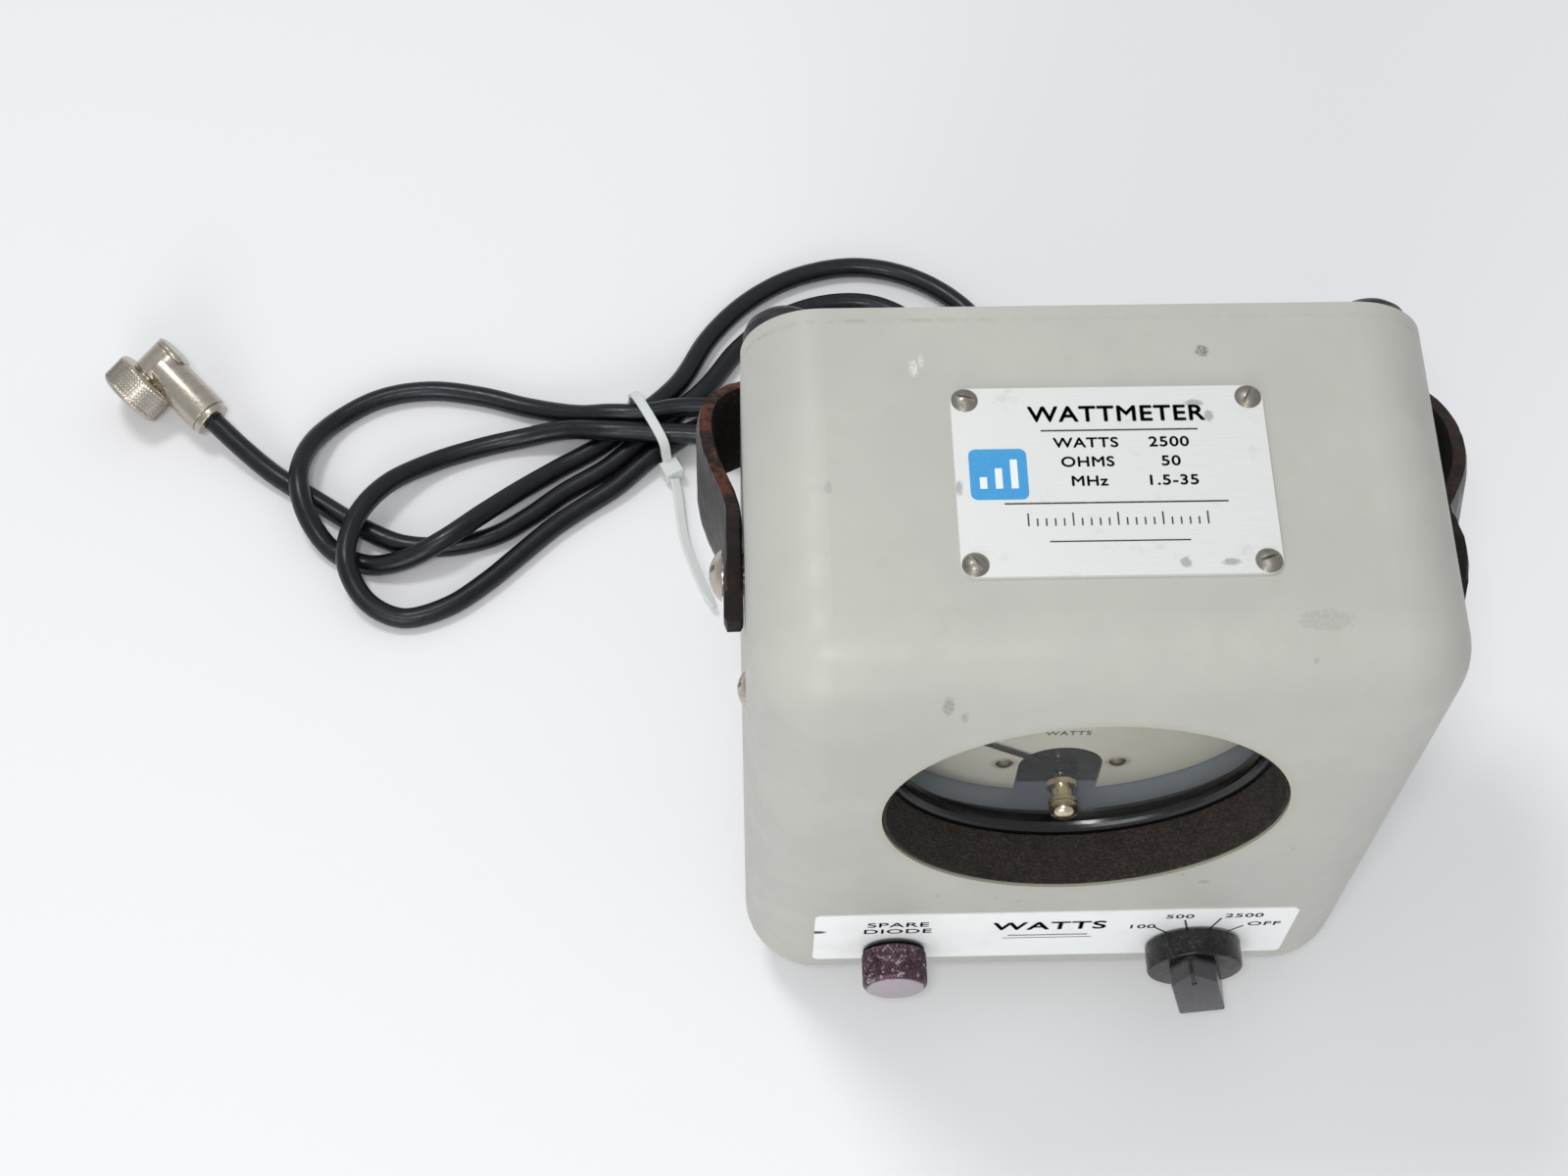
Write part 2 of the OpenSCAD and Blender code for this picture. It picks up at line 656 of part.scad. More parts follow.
// One nut in front of the board and one behind it on each stud.
module stud_nuts() {
    color("#b59a55") metered() for (side = [-1, 1], y = [board_y - 2.2, board_y + board_t])
        translate([side * stud_x, y, window_z]) rotate([-90, 0, 0]) hex_nut(3.6, 2.2, 2.05);
}

// One calibration trimmer for each range.
module trimmers() {
    color("#2f5ea8") metered() for (x = [-22, 0, 22])
        translate([x, board_y + board_t, window_z - 16]) difference() {
            union() {
                translate([-5, 0, -5]) cube([10, 5, 10]);
                translate([0, 5, 0]) rod_y(2.6, 1.2);
            }
            translate([-2, 5.4, -0.4]) cube([4, 1.2, 0.8]);
        }
}

module resistors() {
    color("#c8a774") metered() for (x = [-24, -17, 17, 24])
        translate([x, board_y + board_t + 1.6, window_z + 6]) {
            cylinder(r = 1.5, h = 9);
            translate([0, 0, -2]) cylinder(r = 0.35, h = 13);
            for (z = [-2, 11]) translate([0, -1.6, z]) rod_y(0.35, 1.9);
        }
}

module capacitor() {
    color("#a4502a") metered() translate([0, board_y + board_t, window_z + 14]) {
        translate([0, 3, 0]) rotate([-90, 0, 0]) cylinder(r = 5, h = 2.6);
        for (side = [-1, 1]) translate([side * 2.5, 0, 0]) rod_y(0.35, 4);
    }
}

// Leads from the switch and the gland to the board.
module inner_leads() {
    color("#8e2f2b") placed() {
        swept_tube([[42, 22.2, 34], [42, 25, 34.5], [42, 30, 37], [41, 36, 41.5], [38, 43, 46],
            [34, 47.6, 52], [31, 48, 60], [28.5, 48, 67], [28, 47.9, 70], [28, 48.6, 71.6],
            [28, 49.8, 71.8]], 0.8, 8, [1, 0, 0]);
        swept_tube([[20, 22.2, 34], [20, 25, 34.5], [20, 30, 36], [20, 36, 38.5], [20, 43, 43],
            [20.5, 47.4, 50], [21, 48, 59], [21.6, 48, 67], [22, 47.9, 70], [22, 48.6, 71.6],
            [22, 49.8, 71.8]], 0.8, 8, [1, 0, 0]);
        swept_tube([[-30, 74.9, 14], [-30, 71, 14.5], [-30, 66, 18], [-30, 61, 26], [-30, 56, 40],
            [-30, 52.4, 52], [-29, 48.6, 61], [-28.3, 47.8, 66], [-28, 47.9, 70], [-28, 48.6, 71.6],
            [-28, 49.8, 71.8]], 0.8, 8, [1, 0, 0]);
    }
}

// ---- range switch -----------------------------------------------------------------------

// Skirted knob with a bar grip that narrows to an index edge. Hollow at the back over the nut.
module range_knob() {
    skirt_y = -6.6;
    nose = [[-9.4, -4.9], [5.5, -4.9], [9.6, -1.1], [9.6, 1.1], [5.5, 4.9], [-9.4, 4.9]];
    color("#17181b") placed() translate([switch_x, 0, control_z]) rotate([0, -knob_point, 0])
        difference() {
            union() {
                turned_y([[0, skirt_y], [knob_d / 2 - 0.6, skirt_y], [knob_d / 2, skirt_y + 0.6],
                    [knob_d / 2, -0.8], [0, -0.8]]);
                intersection() {
                    rotate([90, 0, 0]) linear_extrude(knob_tip) polygon(nose);
                    translate([0, -knob_tip, -6]) linear_extrude(12)
                        polygon([[-10, 0], [-9.8, knob_tip - 0.8], [10, knob_tip - 0.8], [9.9, 1.9]]);
                }
            }
            translate([0, -3.6, 0]) rod_y(8, 4);
            translate([0, -10.6, 0]) rod_y(shaft_r, 8);
            translate([0, -4.9, 0]) rotate([0, 180, 0]) rod_x(1.25, knob_d);
        }
}

module knob_set_screw() {
    color("#6d6f72") placed() translate([switch_x, 0, control_z]) rotate([0, -knob_point, 0])
        translate([-9.4, -4.9, 0]) difference() {
            rod_x(1.2, 9.4 - shaft_r);
            translate([-0.1, -0.25, -2]) cube([0.9, 0.5, 4]);
        }
}

module switch_shaft() {
    color("#b8b9b4") placed() translate([switch_x, -10.4, control_z]) rod_y(shaft_r, 35);
}

module switch_rotor() {
    color("#b58d4a") placed() translate([switch_x, 0, control_z]) rotate([0, -knob_point, 0])
        difference() {
            union() {
                translate([0, 18.4, 0]) rod_y(6.4, 1.2);
                translate([4, 18.4, -1.2]) cube([8, 1.2, 2.4]);
            }
            translate([0, 18, 0]) rod_y(shaft_r, 2);
        }
}

// Detent housing with its threaded bushing through the panel.
module switch_body() {
    color("#9a9d9a") placed() translate([switch_x, 0, control_z]) difference() {
        union() {
            translate([0, -3, 0]) rod_y(bushing_r, 6);
            translate([0, wall, 0]) rod_y(7.5, 2);
            translate([0, wall + 1.6, 0]) rod_y(13.5, 6.4);
        }
        translate([0, -4, 0]) rod_y(shaft_r + shaft_clear, 16);
        for (side = [-1, 1])
            translate([side * 10.5, wall + 4, 0]) rod_y(1.1, 6);
    }
}

module switch_nut() {
    color("silver") placed() translate([switch_x, -2.3, control_z]) rotate([-90, 0, 0])
        hex_nut(6.4, 2, bushing_r);
}

// Wafer on two posts, with a ring of contacts for four positions.
module switch_wafer() {
    color("#8a5a33") placed() translate([switch_x, 0, control_z]) {
        difference() {
            translate([0, 20.2, 0]) rod_y(15, 1.4);
            translate([0, 20, 0]) rod_y(shaft_r + 0.6, 2);
        }
        for (side = [-1, 1]) translate([side * 10.5, wall + 5, 0]) rod_y(1.1, 20.3 - wall - 5);
        for (a = [15 : 30 : 345]) rotate([0, -a, 0]) translate([11, 21.5, -0.8]) cube([5, 0.6, 1.6]);
    }
}

// ---- spare diode ------------------------------------------------------------------------

module diode_cap() {
    color("#5c3a4c") placed() translate([-diode_x, 0, control_z]) difference() {
        turned_y([[0, -9.6], [cap_d / 2 - 0.9, -9.6], [cap_d / 2, -8.7], [cap_d / 2, -2],
            [cap_d / 2 - 0.6, -1.4], [0, -1.4]]);
        translate([0, -6.4, 0]) rod_y(well_r - 0.4 + well_clear, 7);
        translate([0, -7.7, 0]) rod_y(3.9, 2);
    }
}

// Thin seal under the cap. It turns on the well's neck.
module cap_washer() {
    color("#2a2a2a") placed() translate([-diode_x, -1.1, control_z]) difference() {
        rod_y(6.6, 0.3);
        translate([0, -fine, 0]) rod_y(well_r - 0.4 + bush_clear, 0.4);
    }
}

// Cartridge diode: ceramic barrel with a metal base and pin.
module spare_diode() {
    color("#d7d2c4") placed() translate([-diode_x, 0, control_z]) {
        translate([0, -7.3, 0]) rod_y(3.1, 3);
        translate([0, -4.4, 0]) rod_y(3.5, 11);
        translate([0, 6.5, 0]) rod_y(3.1, 3);
        translate([0, 9.4, 0]) rod_y(1.2, 4);
    }
}

module diode_well() {
    color("#a6a79d") placed() translate([-diode_x, 0, control_z]) difference() {
        union() {
            translate([0, -4.6, 0]) rod_y(well_r - 0.4, 24);
            translate([0, -0.5, 0]) rod_y(well_r, 20);
        }
        translate([0, -5, 0]) rod_y(3.8, 22);
    }
}

module well_nut() {
    color("silver") placed() translate([-diode_x, wall, control_z]) rotate([-90, 0, 0])
        hex_nut(8, 3, well_r);
}

// ---- lead and plug ----------------------------------------------------------------------

module lead_gland() {
    color("#1a1a1b") placed() translate([gland_x, 0, gland_z]) difference() {
        turned_y([[0, shell_d - 1.5], [5.4, shell_d - 1.5], [5.4, shell_d], [4.5, shell_d], [4.5, case_d],
            [6.5, case_d], [6.5, case_d + 2], [4.6, case_d + 3], [3.8, case_d + gland_out],
            [0, case_d + gland_out]]);
        translate([0, shell_d - 2, 0]) rod_y(lead_r, cover_t + 4);
        translate([0, case_d + 1, 0]) rod_y(lead_r, gland_out - 1 - 1.5);
    }
}

module meter_lead() {
    color("#19191b") translate([frame_x, 0, 0]) swept_tube(route, lead_r, 8);
}

// Half the band's width at a height above the floor: wide round the three lower strands.
band_outline = [[-9, 1.2], [9, 1.2], [9.6, 3.4], [8.8, 6.8], [6.6, 11.6], [-6.6, 11.6], [-8.8, 6.8],
    [-9.6, 3.4]];

module zip_tie() {
    band_t = 1;
    color("#e9ebe8") translate([frame_x, 0, 0]) translate([tie_at[0], tie_at[1], 0]) rotate(tie_turn) {
        rotate([90, 0, 90]) translate([0, 0, -1.25]) linear_extrude(2.5) difference() {
            offset(delta = band_t) polygon(band_outline);
            polygon(band_outline);
        }
        translate([-2.4, -15.2, 1.2]) cube([4.8, 4.8, 4.4]);
    }
    color("#e9ebe8") translate([frame_x, 0, 0]) hull() {
        translate([-80.2, 89, 3.6]) rotate(-75) cube([2, 2.2, 1], center = true);
        translate([-78, 74, 2.2]) rotate(-70) cube([2, 2.2, 1], center = true);
    }
    color("#e9ebe8") translate([frame_x, 0, 0]) hull() {
        translate([-78, 74, 2.2]) rotate(-70) cube([2, 2.2, 1], center = true);
        translate([-71, 55, 2.6]) rotate(-65) cube([2, 2.2, 0.8], center = true);
    }
}

// Puts the plug's parts in place. Its barrel runs along +X and its nut's axis along -Y.
module plug_placed() {
    translate(plug_at + [frame_x, 0, 0]) rotate([0, 0, plug_turn]) rotate([0, plug_dip, 0])
        rotate([plug_roll, 0, 0]) children();
}

module plug_body() {
    color("#b9b2a6") plug_placed() difference() {
        union() {
            translate([0, -3.4, 0]) rod_y(4.8, 7.6);
            translate([0, -7.2, 0]) rod_y(nose_r, 4);
            translate([0, -7.2, 0]) rod_y(5.2, 1);
            difference() {
                rod_x(5.1, barrel_l - 1.7);
                translate([-1, -5.2, -6]) cube([9.8, 1.7, 12]);
                translate([-1, 4.2, -6]) cube([6.1, 1.2, 12]);
            }
        }
        translate([8, 0, 0]) rod_x(2.55, barrel_l);
        translate([0, -8, 0]) rod_y(2.6, 6);
    }
}

module plug_cap() {
    color("#c4beb3") plug_placed() turned_y([[0, 4.2], [4.8, 4.2], [4.8, 5], [4.2, 5.6], [0, 5.6]]);
}

module plug_clamp() {
    color("#b9b2a6") plug_placed() translate([barrel_l - 1.7, 0, 0]) difference() {
        rod_x(4.7, 1.7);
        translate([-fine, 0, 0]) rod_x(2.55, 1);
    }
}

module plug_insulator() {
    color("#e6e2d6") plug_placed() translate([0, -7, 0]) difference() {
        rod_y(2.6, 5);
        translate([0, -fine, 0]) rod_y(0.6, 5.1);
    }
}

module plug_pin() {
    color("#c9a951") plug_placed() translate([0, -10, 0]) rod_y(0.6, 7.8);
}

// Knurled nut that turns on the plug's nose, threaded for the socket in front of it.
module coupling_nut() {
    color("#b3aa9a") plug_placed() difference() {
        turned_y([[0, -nut_back - nut_l], [nut_d / 2 - 0.7, -nut_back - nut_l],
            [nut_d / 2, -nut_back - nut_l + 0.7], [nut_d / 2, -nut_back - 0.7],
            [nut_d / 2 - 0.7, -nut_back], [0, -nut_back]]);
        translate([0, -nut_back - nut_l - fine, 0]) rod_y(6.9, nut_l - nut_web);
        translate([0, -nut_back - nut_l, 0]) rod_y(nose_r + bush_clear, nut_l + 1);
    }
}

housing();
back_cover();
cover_screws();
back_feet();
base_feet();
nameplate();
nameplate_screws();
front_strip();
strap();
strap_bushes();
strap_screws();
side_screws();
shock_ring();
meter_bezel();
meter_glass();
meter_case();
meter_frame();
frame_screws();
dial_plate();
dial_screws();
magnet_yoke();
magnet_core();
front_bridge();
rear_bridge();
coil_frame();
pointer();
hairsprings();
zero_adjuster();
meter_studs();
circuit_board();
stud_nuts();
trimmers();
resistors();
capacitor();
inner_leads();
range_knob();
knob_set_screw();
switch_shaft();
switch_rotor();
switch_body();
switch_nut();
switch_wafer();
diode_cap();
cap_washer();
spare_diode();
diode_well();
well_nut();
lead_gland();
meter_lead();
zip_tie();
plug_body();
plug_cap();
plug_clamp();
plug_insulator();
plug_pin();
coupling_nut();
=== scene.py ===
import math

import bmesh
import bpy
from mathutils import Matrix, Vector, noise


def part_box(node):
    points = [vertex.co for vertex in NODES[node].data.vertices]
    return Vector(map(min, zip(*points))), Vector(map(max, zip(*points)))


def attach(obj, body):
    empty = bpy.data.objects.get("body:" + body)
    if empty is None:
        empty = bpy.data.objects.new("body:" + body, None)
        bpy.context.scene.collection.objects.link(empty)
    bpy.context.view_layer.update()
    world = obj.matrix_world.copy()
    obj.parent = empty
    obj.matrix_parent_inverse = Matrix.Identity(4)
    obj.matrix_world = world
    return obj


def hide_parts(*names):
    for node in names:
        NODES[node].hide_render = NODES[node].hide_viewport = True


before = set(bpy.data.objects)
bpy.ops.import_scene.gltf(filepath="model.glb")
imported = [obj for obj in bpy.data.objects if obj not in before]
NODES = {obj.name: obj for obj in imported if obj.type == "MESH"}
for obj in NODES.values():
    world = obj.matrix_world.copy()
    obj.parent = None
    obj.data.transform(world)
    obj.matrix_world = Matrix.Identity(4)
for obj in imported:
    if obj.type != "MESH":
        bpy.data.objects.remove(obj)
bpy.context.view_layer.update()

MM = 0.001
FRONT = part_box("housing")[0].y
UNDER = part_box("housing")[0].z
MIDDLE = (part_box("housing")[0].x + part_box("housing")[1].x) / 2
SCENE = bpy.context.scene
UP = Vector((0, 0, 1))
KNOB_AXIS = (31.0, 23.0)
CAP_AXIS = (-33.5, 23.0)
METER_AXIS = (-0.8, 95.2)
METER_BORE = 37.85
METER_PIVOT = (-0.8, 68.5)
ADJUSTER_AXIS = (-0.8, 67.2)
PLATE_SHIFT = (1.3, -0.2)
KNOB_POINT = math.radians(105)
KNOB_R = 10.2
TOP_Z = 149.0
PLATE_TOP = TOP_Z + 0.8
SEAM_Y = 76.6
STRIP_PRINT_Y = -0.33
DIAL_PRINT_Y = 21.97
DIAL_SCREW_REACH = 11.6
DIAL_START, DIAL_SWEEP = 143, 100
DIAL_SCALES = ((39.5, 100), (34.5, 50), (29.5, 25))
PRINT_LIFT = 0.03
FLOOR_REACH = 3.0


def at(x, y, z):
    """A point in the row frame, from millimetres off the case's middle, front and underside."""
    return Vector((MIDDLE + x * MM, FRONT + y * MM, UNDER + z * MM))


def laid(x, y, z):
    """A point of the cord in the row frame, from millimetres off the case's middle and the floor."""
    return Vector((MIDDLE + x * MM, y * MM, z * MM))


# ---- camera -----------------------------------------------------------------------------

CAMERA_AT = at(-69.31, -186.22, 537.91)
CAMERA_YAW = math.radians(3.03)
CAMERA_PITCH = math.radians(61.94)
CAMERA_ROLL = math.radians(1.78)
LENS = 57.9
SENSOR_WIDTH = 36


def make_camera():
    forward = Vector((math.sin(CAMERA_YAW) * math.cos(CAMERA_PITCH),
                      math.cos(CAMERA_YAW) * math.cos(CAMERA_PITCH), -math.sin(CAMERA_PITCH)))
    level = Vector((math.cos(CAMERA_YAW), -math.sin(CAMERA_YAW), 0))
    top = level.cross(forward)
    right = math.cos(CAMERA_ROLL) * level + math.sin(CAMERA_ROLL) * top
    up = -math.sin(CAMERA_ROLL) * level + math.cos(CAMERA_ROLL) * top
    data = bpy.data.cameras.new("camera")
    data.lens = LENS
    data.sensor_width = SENSOR_WIDTH
    camera = bpy.data.objects.new("camera", data)
    SCENE.collection.objects.link(camera)
    camera.matrix_world = Matrix((*zip(right, up, -forward, CAMERA_AT), (0, 0, 0, 1)))
    SCENE.camera = camera


make_camera()

# ---- shader nodes -----------------------------------------------------------------------


def linear(value):
    value /= 255
    return value / 12.92 if value <= 0.04045 else ((value + 0.055) / 1.055) ** 2.4


def rgb(r, g, b):
    """A colour given by its 0 to 255 display values."""
    return (linear(r), linear(g), linear(b), 1)


class Look:
    """A Principled material with helpers that add texture nodes. Lengths in the textures are millimetres."""

    def __init__(self, name, color, roughness, metallic=0.0, **sockets):
        self.material = bpy.data.materials.new(name)
        self.material.use_nodes = True
        self.tree = self.material.node_tree
        self.shader = self.tree.nodes["Principled BSDF"]
        self.shader.inputs["Base Color"].default_value = color
        self.shader.inputs["Roughness"].default_value = roughness
        self.shader.inputs["Metallic"].default_value = metallic
        for key, value in sockets.items():
            self.shader.inputs[key.replace("_", " ")].default_value = value
        self.color = color
        self.roughness = roughness
        place = self.add("ShaderNodeTexCoord").outputs["Object"]
        self.place = self.vector("SCALE", {0: place, "Scale": 1 / MM}).outputs[0]

    def add(self, kind, inputs=(), **settings):
        """A node with its settings made, and its inputs joined or set."""
        made = self.tree.nodes.new(kind)
        for key, value in settings.items():
            setattr(made, key, value)
        for key, value in dict(inputs).items():
            self.feed(made.inputs[key], value)
        return made

    def feed(self, target, value):
        if isinstance(value, bpy.types.NodeSocket):
            self.tree.links.new(value, target)
        else:
            target.default_value = value

    def vector(self, operation, inputs):
        return self.add("ShaderNodeVectorMath", inputs, operation=operation)

    def stretched(self, x, y, z):
        return self.vector("MULTIPLY", {0: self.place, 1: (x, y, z)}).outputs[0]

    def noise(self, size, detail=4, rough=0.6, place=None, distortion=0.0):
        made = self.add("ShaderNodeTexNoise", {
            "Vector": place or self.place, "Scale": 1 / size, "Detail": detail, "Roughness": rough,
            "Distortion": distortion})
        return made.outputs["Fac"]

    def cells(self, size, place=None, feature="F1"):
        made = self.add("ShaderNodeTexVoronoi", feature=feature)
        self.feed(made.inputs["Vector"], place or self.place)
        self.feed(made.inputs["Scale"], 1 / size)
        return made.outputs["Distance"]

    def step(self, value, low, high, to_low=0.0, to_high=1.0):
        made = self.add("ShaderNodeMapRange", {
            "Value": value, "From Min": low, "From Max": high, "To Min": to_low, "To Max": to_high,
        }, interpolation_type="SMOOTHSTEP")
        return made.outputs["Result"]

    def cloud(self, grain, *span):
        """Noise of the grain (size, detail, roughness), stepped over the span."""
        return self.step(self.noise(*grain), *span)

    def math(self, operation, a, b=0.0):
        return self.add("ShaderNodeMath", {0: a, 1: b}, operation=operation).outputs[0]

    def mix(self, amount, a, b):
        made = self.add("ShaderNodeMix", data_type="RGBA")
        for key, value in (("Factor", amount), ("A", a), ("B", b)):
            self.feed(made.inputs[key], value)
        return made.outputs["Result"]

    def axis(self, name):
        return self.add("ShaderNodeSeparateXYZ", {0: self.place}).outputs[name]

    def facing(self, name):
        """How far the surface's own normal leans along an axis of the piece."""
        normal = self.add("ShaderNodeTexCoord").outputs["Normal"]
        return self.add("ShaderNodeSeparateXYZ", {0: normal}).outputs[name]

    def spot(self, point, radius, soft=0.5, ragged=0.4, size=2.0, stretch=(1, 1, 1)):
        """1 inside a ragged blob round a point given in the row frame's metres, 0 outside."""
        shift = self.vector("SUBTRACT", {0: self.place, 1: [c / MM for c in point]}).outputs[0]
        scaled = self.vector("MULTIPLY", {0: shift, 1: stretch}).outputs[0]
        away = self.vector("LENGTH", {0: scaled}).outputs["Value"]
        wobble = self.math("MULTIPLY", self.noise(size, 5, 0.7), 2 * ragged * radius)
        edge = radius * (1 + ragged)
        return self.step(self.math("ADD", away, wobble), edge - soft, edge + soft, 1.0, 0.0)

    def tint(self, amount, color):
        self.color = self.mix(amount, self.color, color)

    def veil(self, mask, amount, color):
        """A tint where the mask is, no stronger than the amount."""
        self.tint(self.math("MULTIPLY", mask, amount), color)

    def bump(self, height, distance, strength=1.0):
        made = self.add("ShaderNodeBump", {"Height": height, "Distance": distance * MM, "Strength": strength})
        previous = self.shader.inputs["Normal"]
        if previous.is_linked:
            self.feed(made.inputs["Normal"], previous.links[0].from_socket)
        self.feed(previous, made.outputs["Normal"])

    def done(self):
        self.feed(self.shader.inputs["Base Color"], self.color)
        self.feed(self.shader.inputs["Roughness"], self.roughness)
        return self.material


# ---- materials --------------------------------------------------------------------------

PAINT = rgb(178, 178, 171)


def painted(name, scuffs=True):
    look = Look(name, PAINT, 0.42, Specular_IOR_Level=0.42)
    look.tint(look.cloud((38, 3), 0.35, 0.7), rgb(184, 184, 176))
    look.veil(look.cloud((9, 6, 0.7), 0.52, 0.75), 0.3, rgb(168, 168, 157))
    specks = look.cloud((1.3, 3, 0.7), 0.72, 0.78)
    look.veil(specks, 0.5, rgb(140, 138, 122))
    if scuffs:
        dark, pale = (74, 74, 76), (214, 214, 208)
        marks = [
            ((20, 69, TOP_Z), 1.5, dark, 0.75, (1, 1, 1)),
            ((-33.5, 66, TOP_Z), 1.0, pale, 0.9, (1, 0.5, 1)),
            ((-32, 67.5, TOP_Z), 0.5, pale, 0.8, (1, 0.3, 1)),
            ((-50, 41, TOP_Z), 1.2, (150, 150, 150), 0.6, (1.6, 0.8, 1)),
            ((36, 13, TOP_Z), 3.0, (150, 151, 147), 0.4, (0.5, 1.2, 1)),
            ((26.5, 31, TOP_Z), 0.7, (120, 112, 96), 0.5, (1, 0.5, 1)),
            ((-30, 2, 140), 1.2, (112, 110, 104), 0.55, (1, 0.35, 0.5)),
            ((-27, 1.2, 137.5), 1.0, (120, 116, 104), 0.5, (1.3, 0.4, 0.6)),
            ((49, 3, 139), 0.9, dark, 0.7, (1.5, 0.6, 0.6)),
            ((34, 6.5, 146), 0.6, dark, 0.6, (1, 1, 1)),
            ((-49, 4, 141), 0.6, (110, 108, 96), 0.6, (1, 1, 1)),
            ((28, 0, 58), 1.1, (140, 140, 132), 0.7, (0.7, 1, 1)),
            ((23, 0, 62), 0.6, (130, 130, 124), 0.6, (1, 1, 1)),
            ((-26, 0, 53), 0.8, (150, 149, 140), 0.6, (1, 1, 1)),
            ((-9, 0, 49), 0.5, (120, 118, 106), 0.6, (1, 1, 1)),
            ((-14, 0, 51), 0.5, (118, 116, 104), 0.6, (1, 1, 1)),
            ((43, 0, 75), 0.5, (124, 122, 110), 0.6, (1, 1, 1)),
        ]
        for point, radius, color, amount, stretch in marks:
            mask = look.spot(at(*point), radius * 0.8, 0.3, 0.7, 0.8, stretch)
            flecks = look.cloud((0.45, 4, 0.7), 0.4, 0.55, amount * 0.25, amount)
            look.veil(mask, flecks, rgb(*color))
        halo = look.spot(at(METER_AXIS[0], 0, METER_AXIS[1]), METER_BORE + 2.05, 1.2, 0.03, 7, (1, 0.2, 1))
        look.veil(halo, 0.4, rgb(170, 166, 138))
    seam = look.math("ABSOLUTE", look.math("SUBTRACT", look.axis("Y"), (FRONT / MM) + SEAM_Y))
    edge = look.step(seam, 0.2, 0.7, 1.0, 0.0)
    grime = look.math("MULTIPLY", edge, look.step(look.axis("X"), -35, -10, 0.22, 0.06))
    look.veil(grime, look.cloud((3, 5, 0.7), 0.4, 0.6), rgb(120, 108, 86))
    look.roughness = look.cloud((6, 5), 0.3, 0.75, 0.36, 0.5)
    look.bump(look.noise(0.9, 3, 0.5), 0.05, 0.35)
    look.bump(look.noise(14, 3), 0.3, 0.15)
    return look.done()


def metal(name, color, roughness=0.3, wear=0.3, dark=(90, 84, 76)):
    look = Look(name, color, roughness, 1.0)
    look.veil(look.cloud((1.6, 5, 0.7), 0.45, 0.75), wear, rgb(*dark))
    look.roughness = look.cloud((0.8, 4, 0.7), 0.3, 0.8, roughness * 0.75, roughness * 1.6)
    look.bump(look.noise(0.25, 3), 0.02, 0.3)
    return look.done()


def plastic(name, color, roughness=0.35, variation=0.25, light=(70, 70, 74)):
    look = Look(name, color, roughness)
    look.veil(look.cloud((2.2, 5, 0.7), 0.5, 0.8), variation, rgb(*light))
    look.roughness = look.cloud((1.1, 4, 0.7), 0.3, 0.8, roughness * 0.8, roughness * 1.5)
    look.bump(look.noise(0.4, 3), 0.02, 0.35)
    return look.done()


def knob_plastic():
    look = Look("knob_bakelite", rgb(14, 14, 16), 0.24, Specular_IOR_Level=0.35)
    # Painted sheen: faces that do not point along the knob's axis are lightened to stand in for the light they
    # catch.
    painted_facet_sheen = look.step(look.math("ABSOLUTE", look.facing("Y")), 0.35, 0.8, 1.0, 0.0)
    look.veil(painted_facet_sheen, 0.2, rgb(40, 40, 42))
    # Painted sheen: the grip bar standing in front of the skirt is lightened towards grey to stand in for the
    # light on its top.
    grip = look.step(look.axis("Y"), (FRONT / MM) - 8.4, (FRONT / MM) - 6.9, 1.0, 0.0)
    look.veil(grip, 0.5, rgb(92, 92, 94))
    look.veil(look.cloud((2.6, 5, 0.7), 0.5, 0.8), 0.12, rgb(88, 84, 84))
    core = look.spot(at(KNOB_AXIS[0], 0, KNOB_AXIS[1]), 9.55, 0.2, 0.02, 2.0, (1, 0, 1))
    rim = look.math("MULTIPLY", look.math("SUBTRACT", 1.0, core), look.cloud((1.3, 5, 0.8), 0.52, 0.68))
    look.veil(rim, 0.45, rgb(96, 90, 70))
    look.roughness = look.cloud((1.1, 4, 0.7), 0.3, 0.8, 0.2, 0.42)
    look.bump(look.noise(0.4, 3), 0.02, 0.35)
    return look.done()


def rubber(name, color=(26, 26, 28)):
    look = Look(name, rgb(*color), 0.55)
    look.veil(look.cloud((3, 5, 0.7), 0.5, 0.8), 0.5, rgb(64, 62, 60))
    look.roughness = look.cloud((1.5, 4), 0.3, 0.8, 0.42, 0.7)
    look.bump(look.noise(0.5, 4), 0.05, 0.4)
    return look.done()


def jacket():
    look = Look("lead_jacket", rgb(13, 13, 16), 0.34, Specular_IOR_Level=0.45,
                Specular_Tint=(0.86, 0.92, 1, 1))
    look.veil(look.cloud((5, 5, 0.7), 0.55, 0.8), 0.35, rgb(44, 46, 54))
    look.roughness = look.cloud((2.4, 5), 0.3, 0.8, 0.27, 0.46)
    look.bump(look.noise(1.1, 3), 0.06, 0.3)
    look.bump(look.noise(7, 2), 0.3, 0.25)
    return look.done()


def leather_face():
    look = Look("leather_face", rgb(24, 21, 20), 0.36, Specular_IOR_Level=0.6)
    pores = look.cells(0.9, feature="DISTANCE_TO_EDGE")
    creases = look.noise(2.6, 6, 0.7, look.stretched(1, 0.6, 2.2))
    look.veil(look.step(creases, 0.5, 0.75), 0.55, rgb(58, 50, 46))
    worn = look.cloud((7, 6, 0.75), 0.6, 0.75)
    look.veil(worn, 0.4, rgb(96, 66, 48))
    look.roughness = look.step(creases, 0.35, 0.75, 0.3, 0.6)
    look.bump(pores, 0.08, 0.5)
    look.bump(creases, 0.35, 0.45)
    return look.done()


def leather_raw():
    look = Look("leather_raw", rgb(30, 25, 23), 0.92, Specular_IOR_Level=0.2)
    fibres = look.noise(0.9, 8, 0.8, look.stretched(1, 1.6, 0.6), 1.5)
    look.tint(look.step(fibres, 0.42, 0.62), rgb(18, 15, 15))
    tufts = look.cloud((1.6, 7, 0.8), 0.56, 0.66)
    look.veil(tufts, 0.7, rgb(88, 52, 36))
    look.bump(fibres, 0.6, 0.9)
    return look.done()


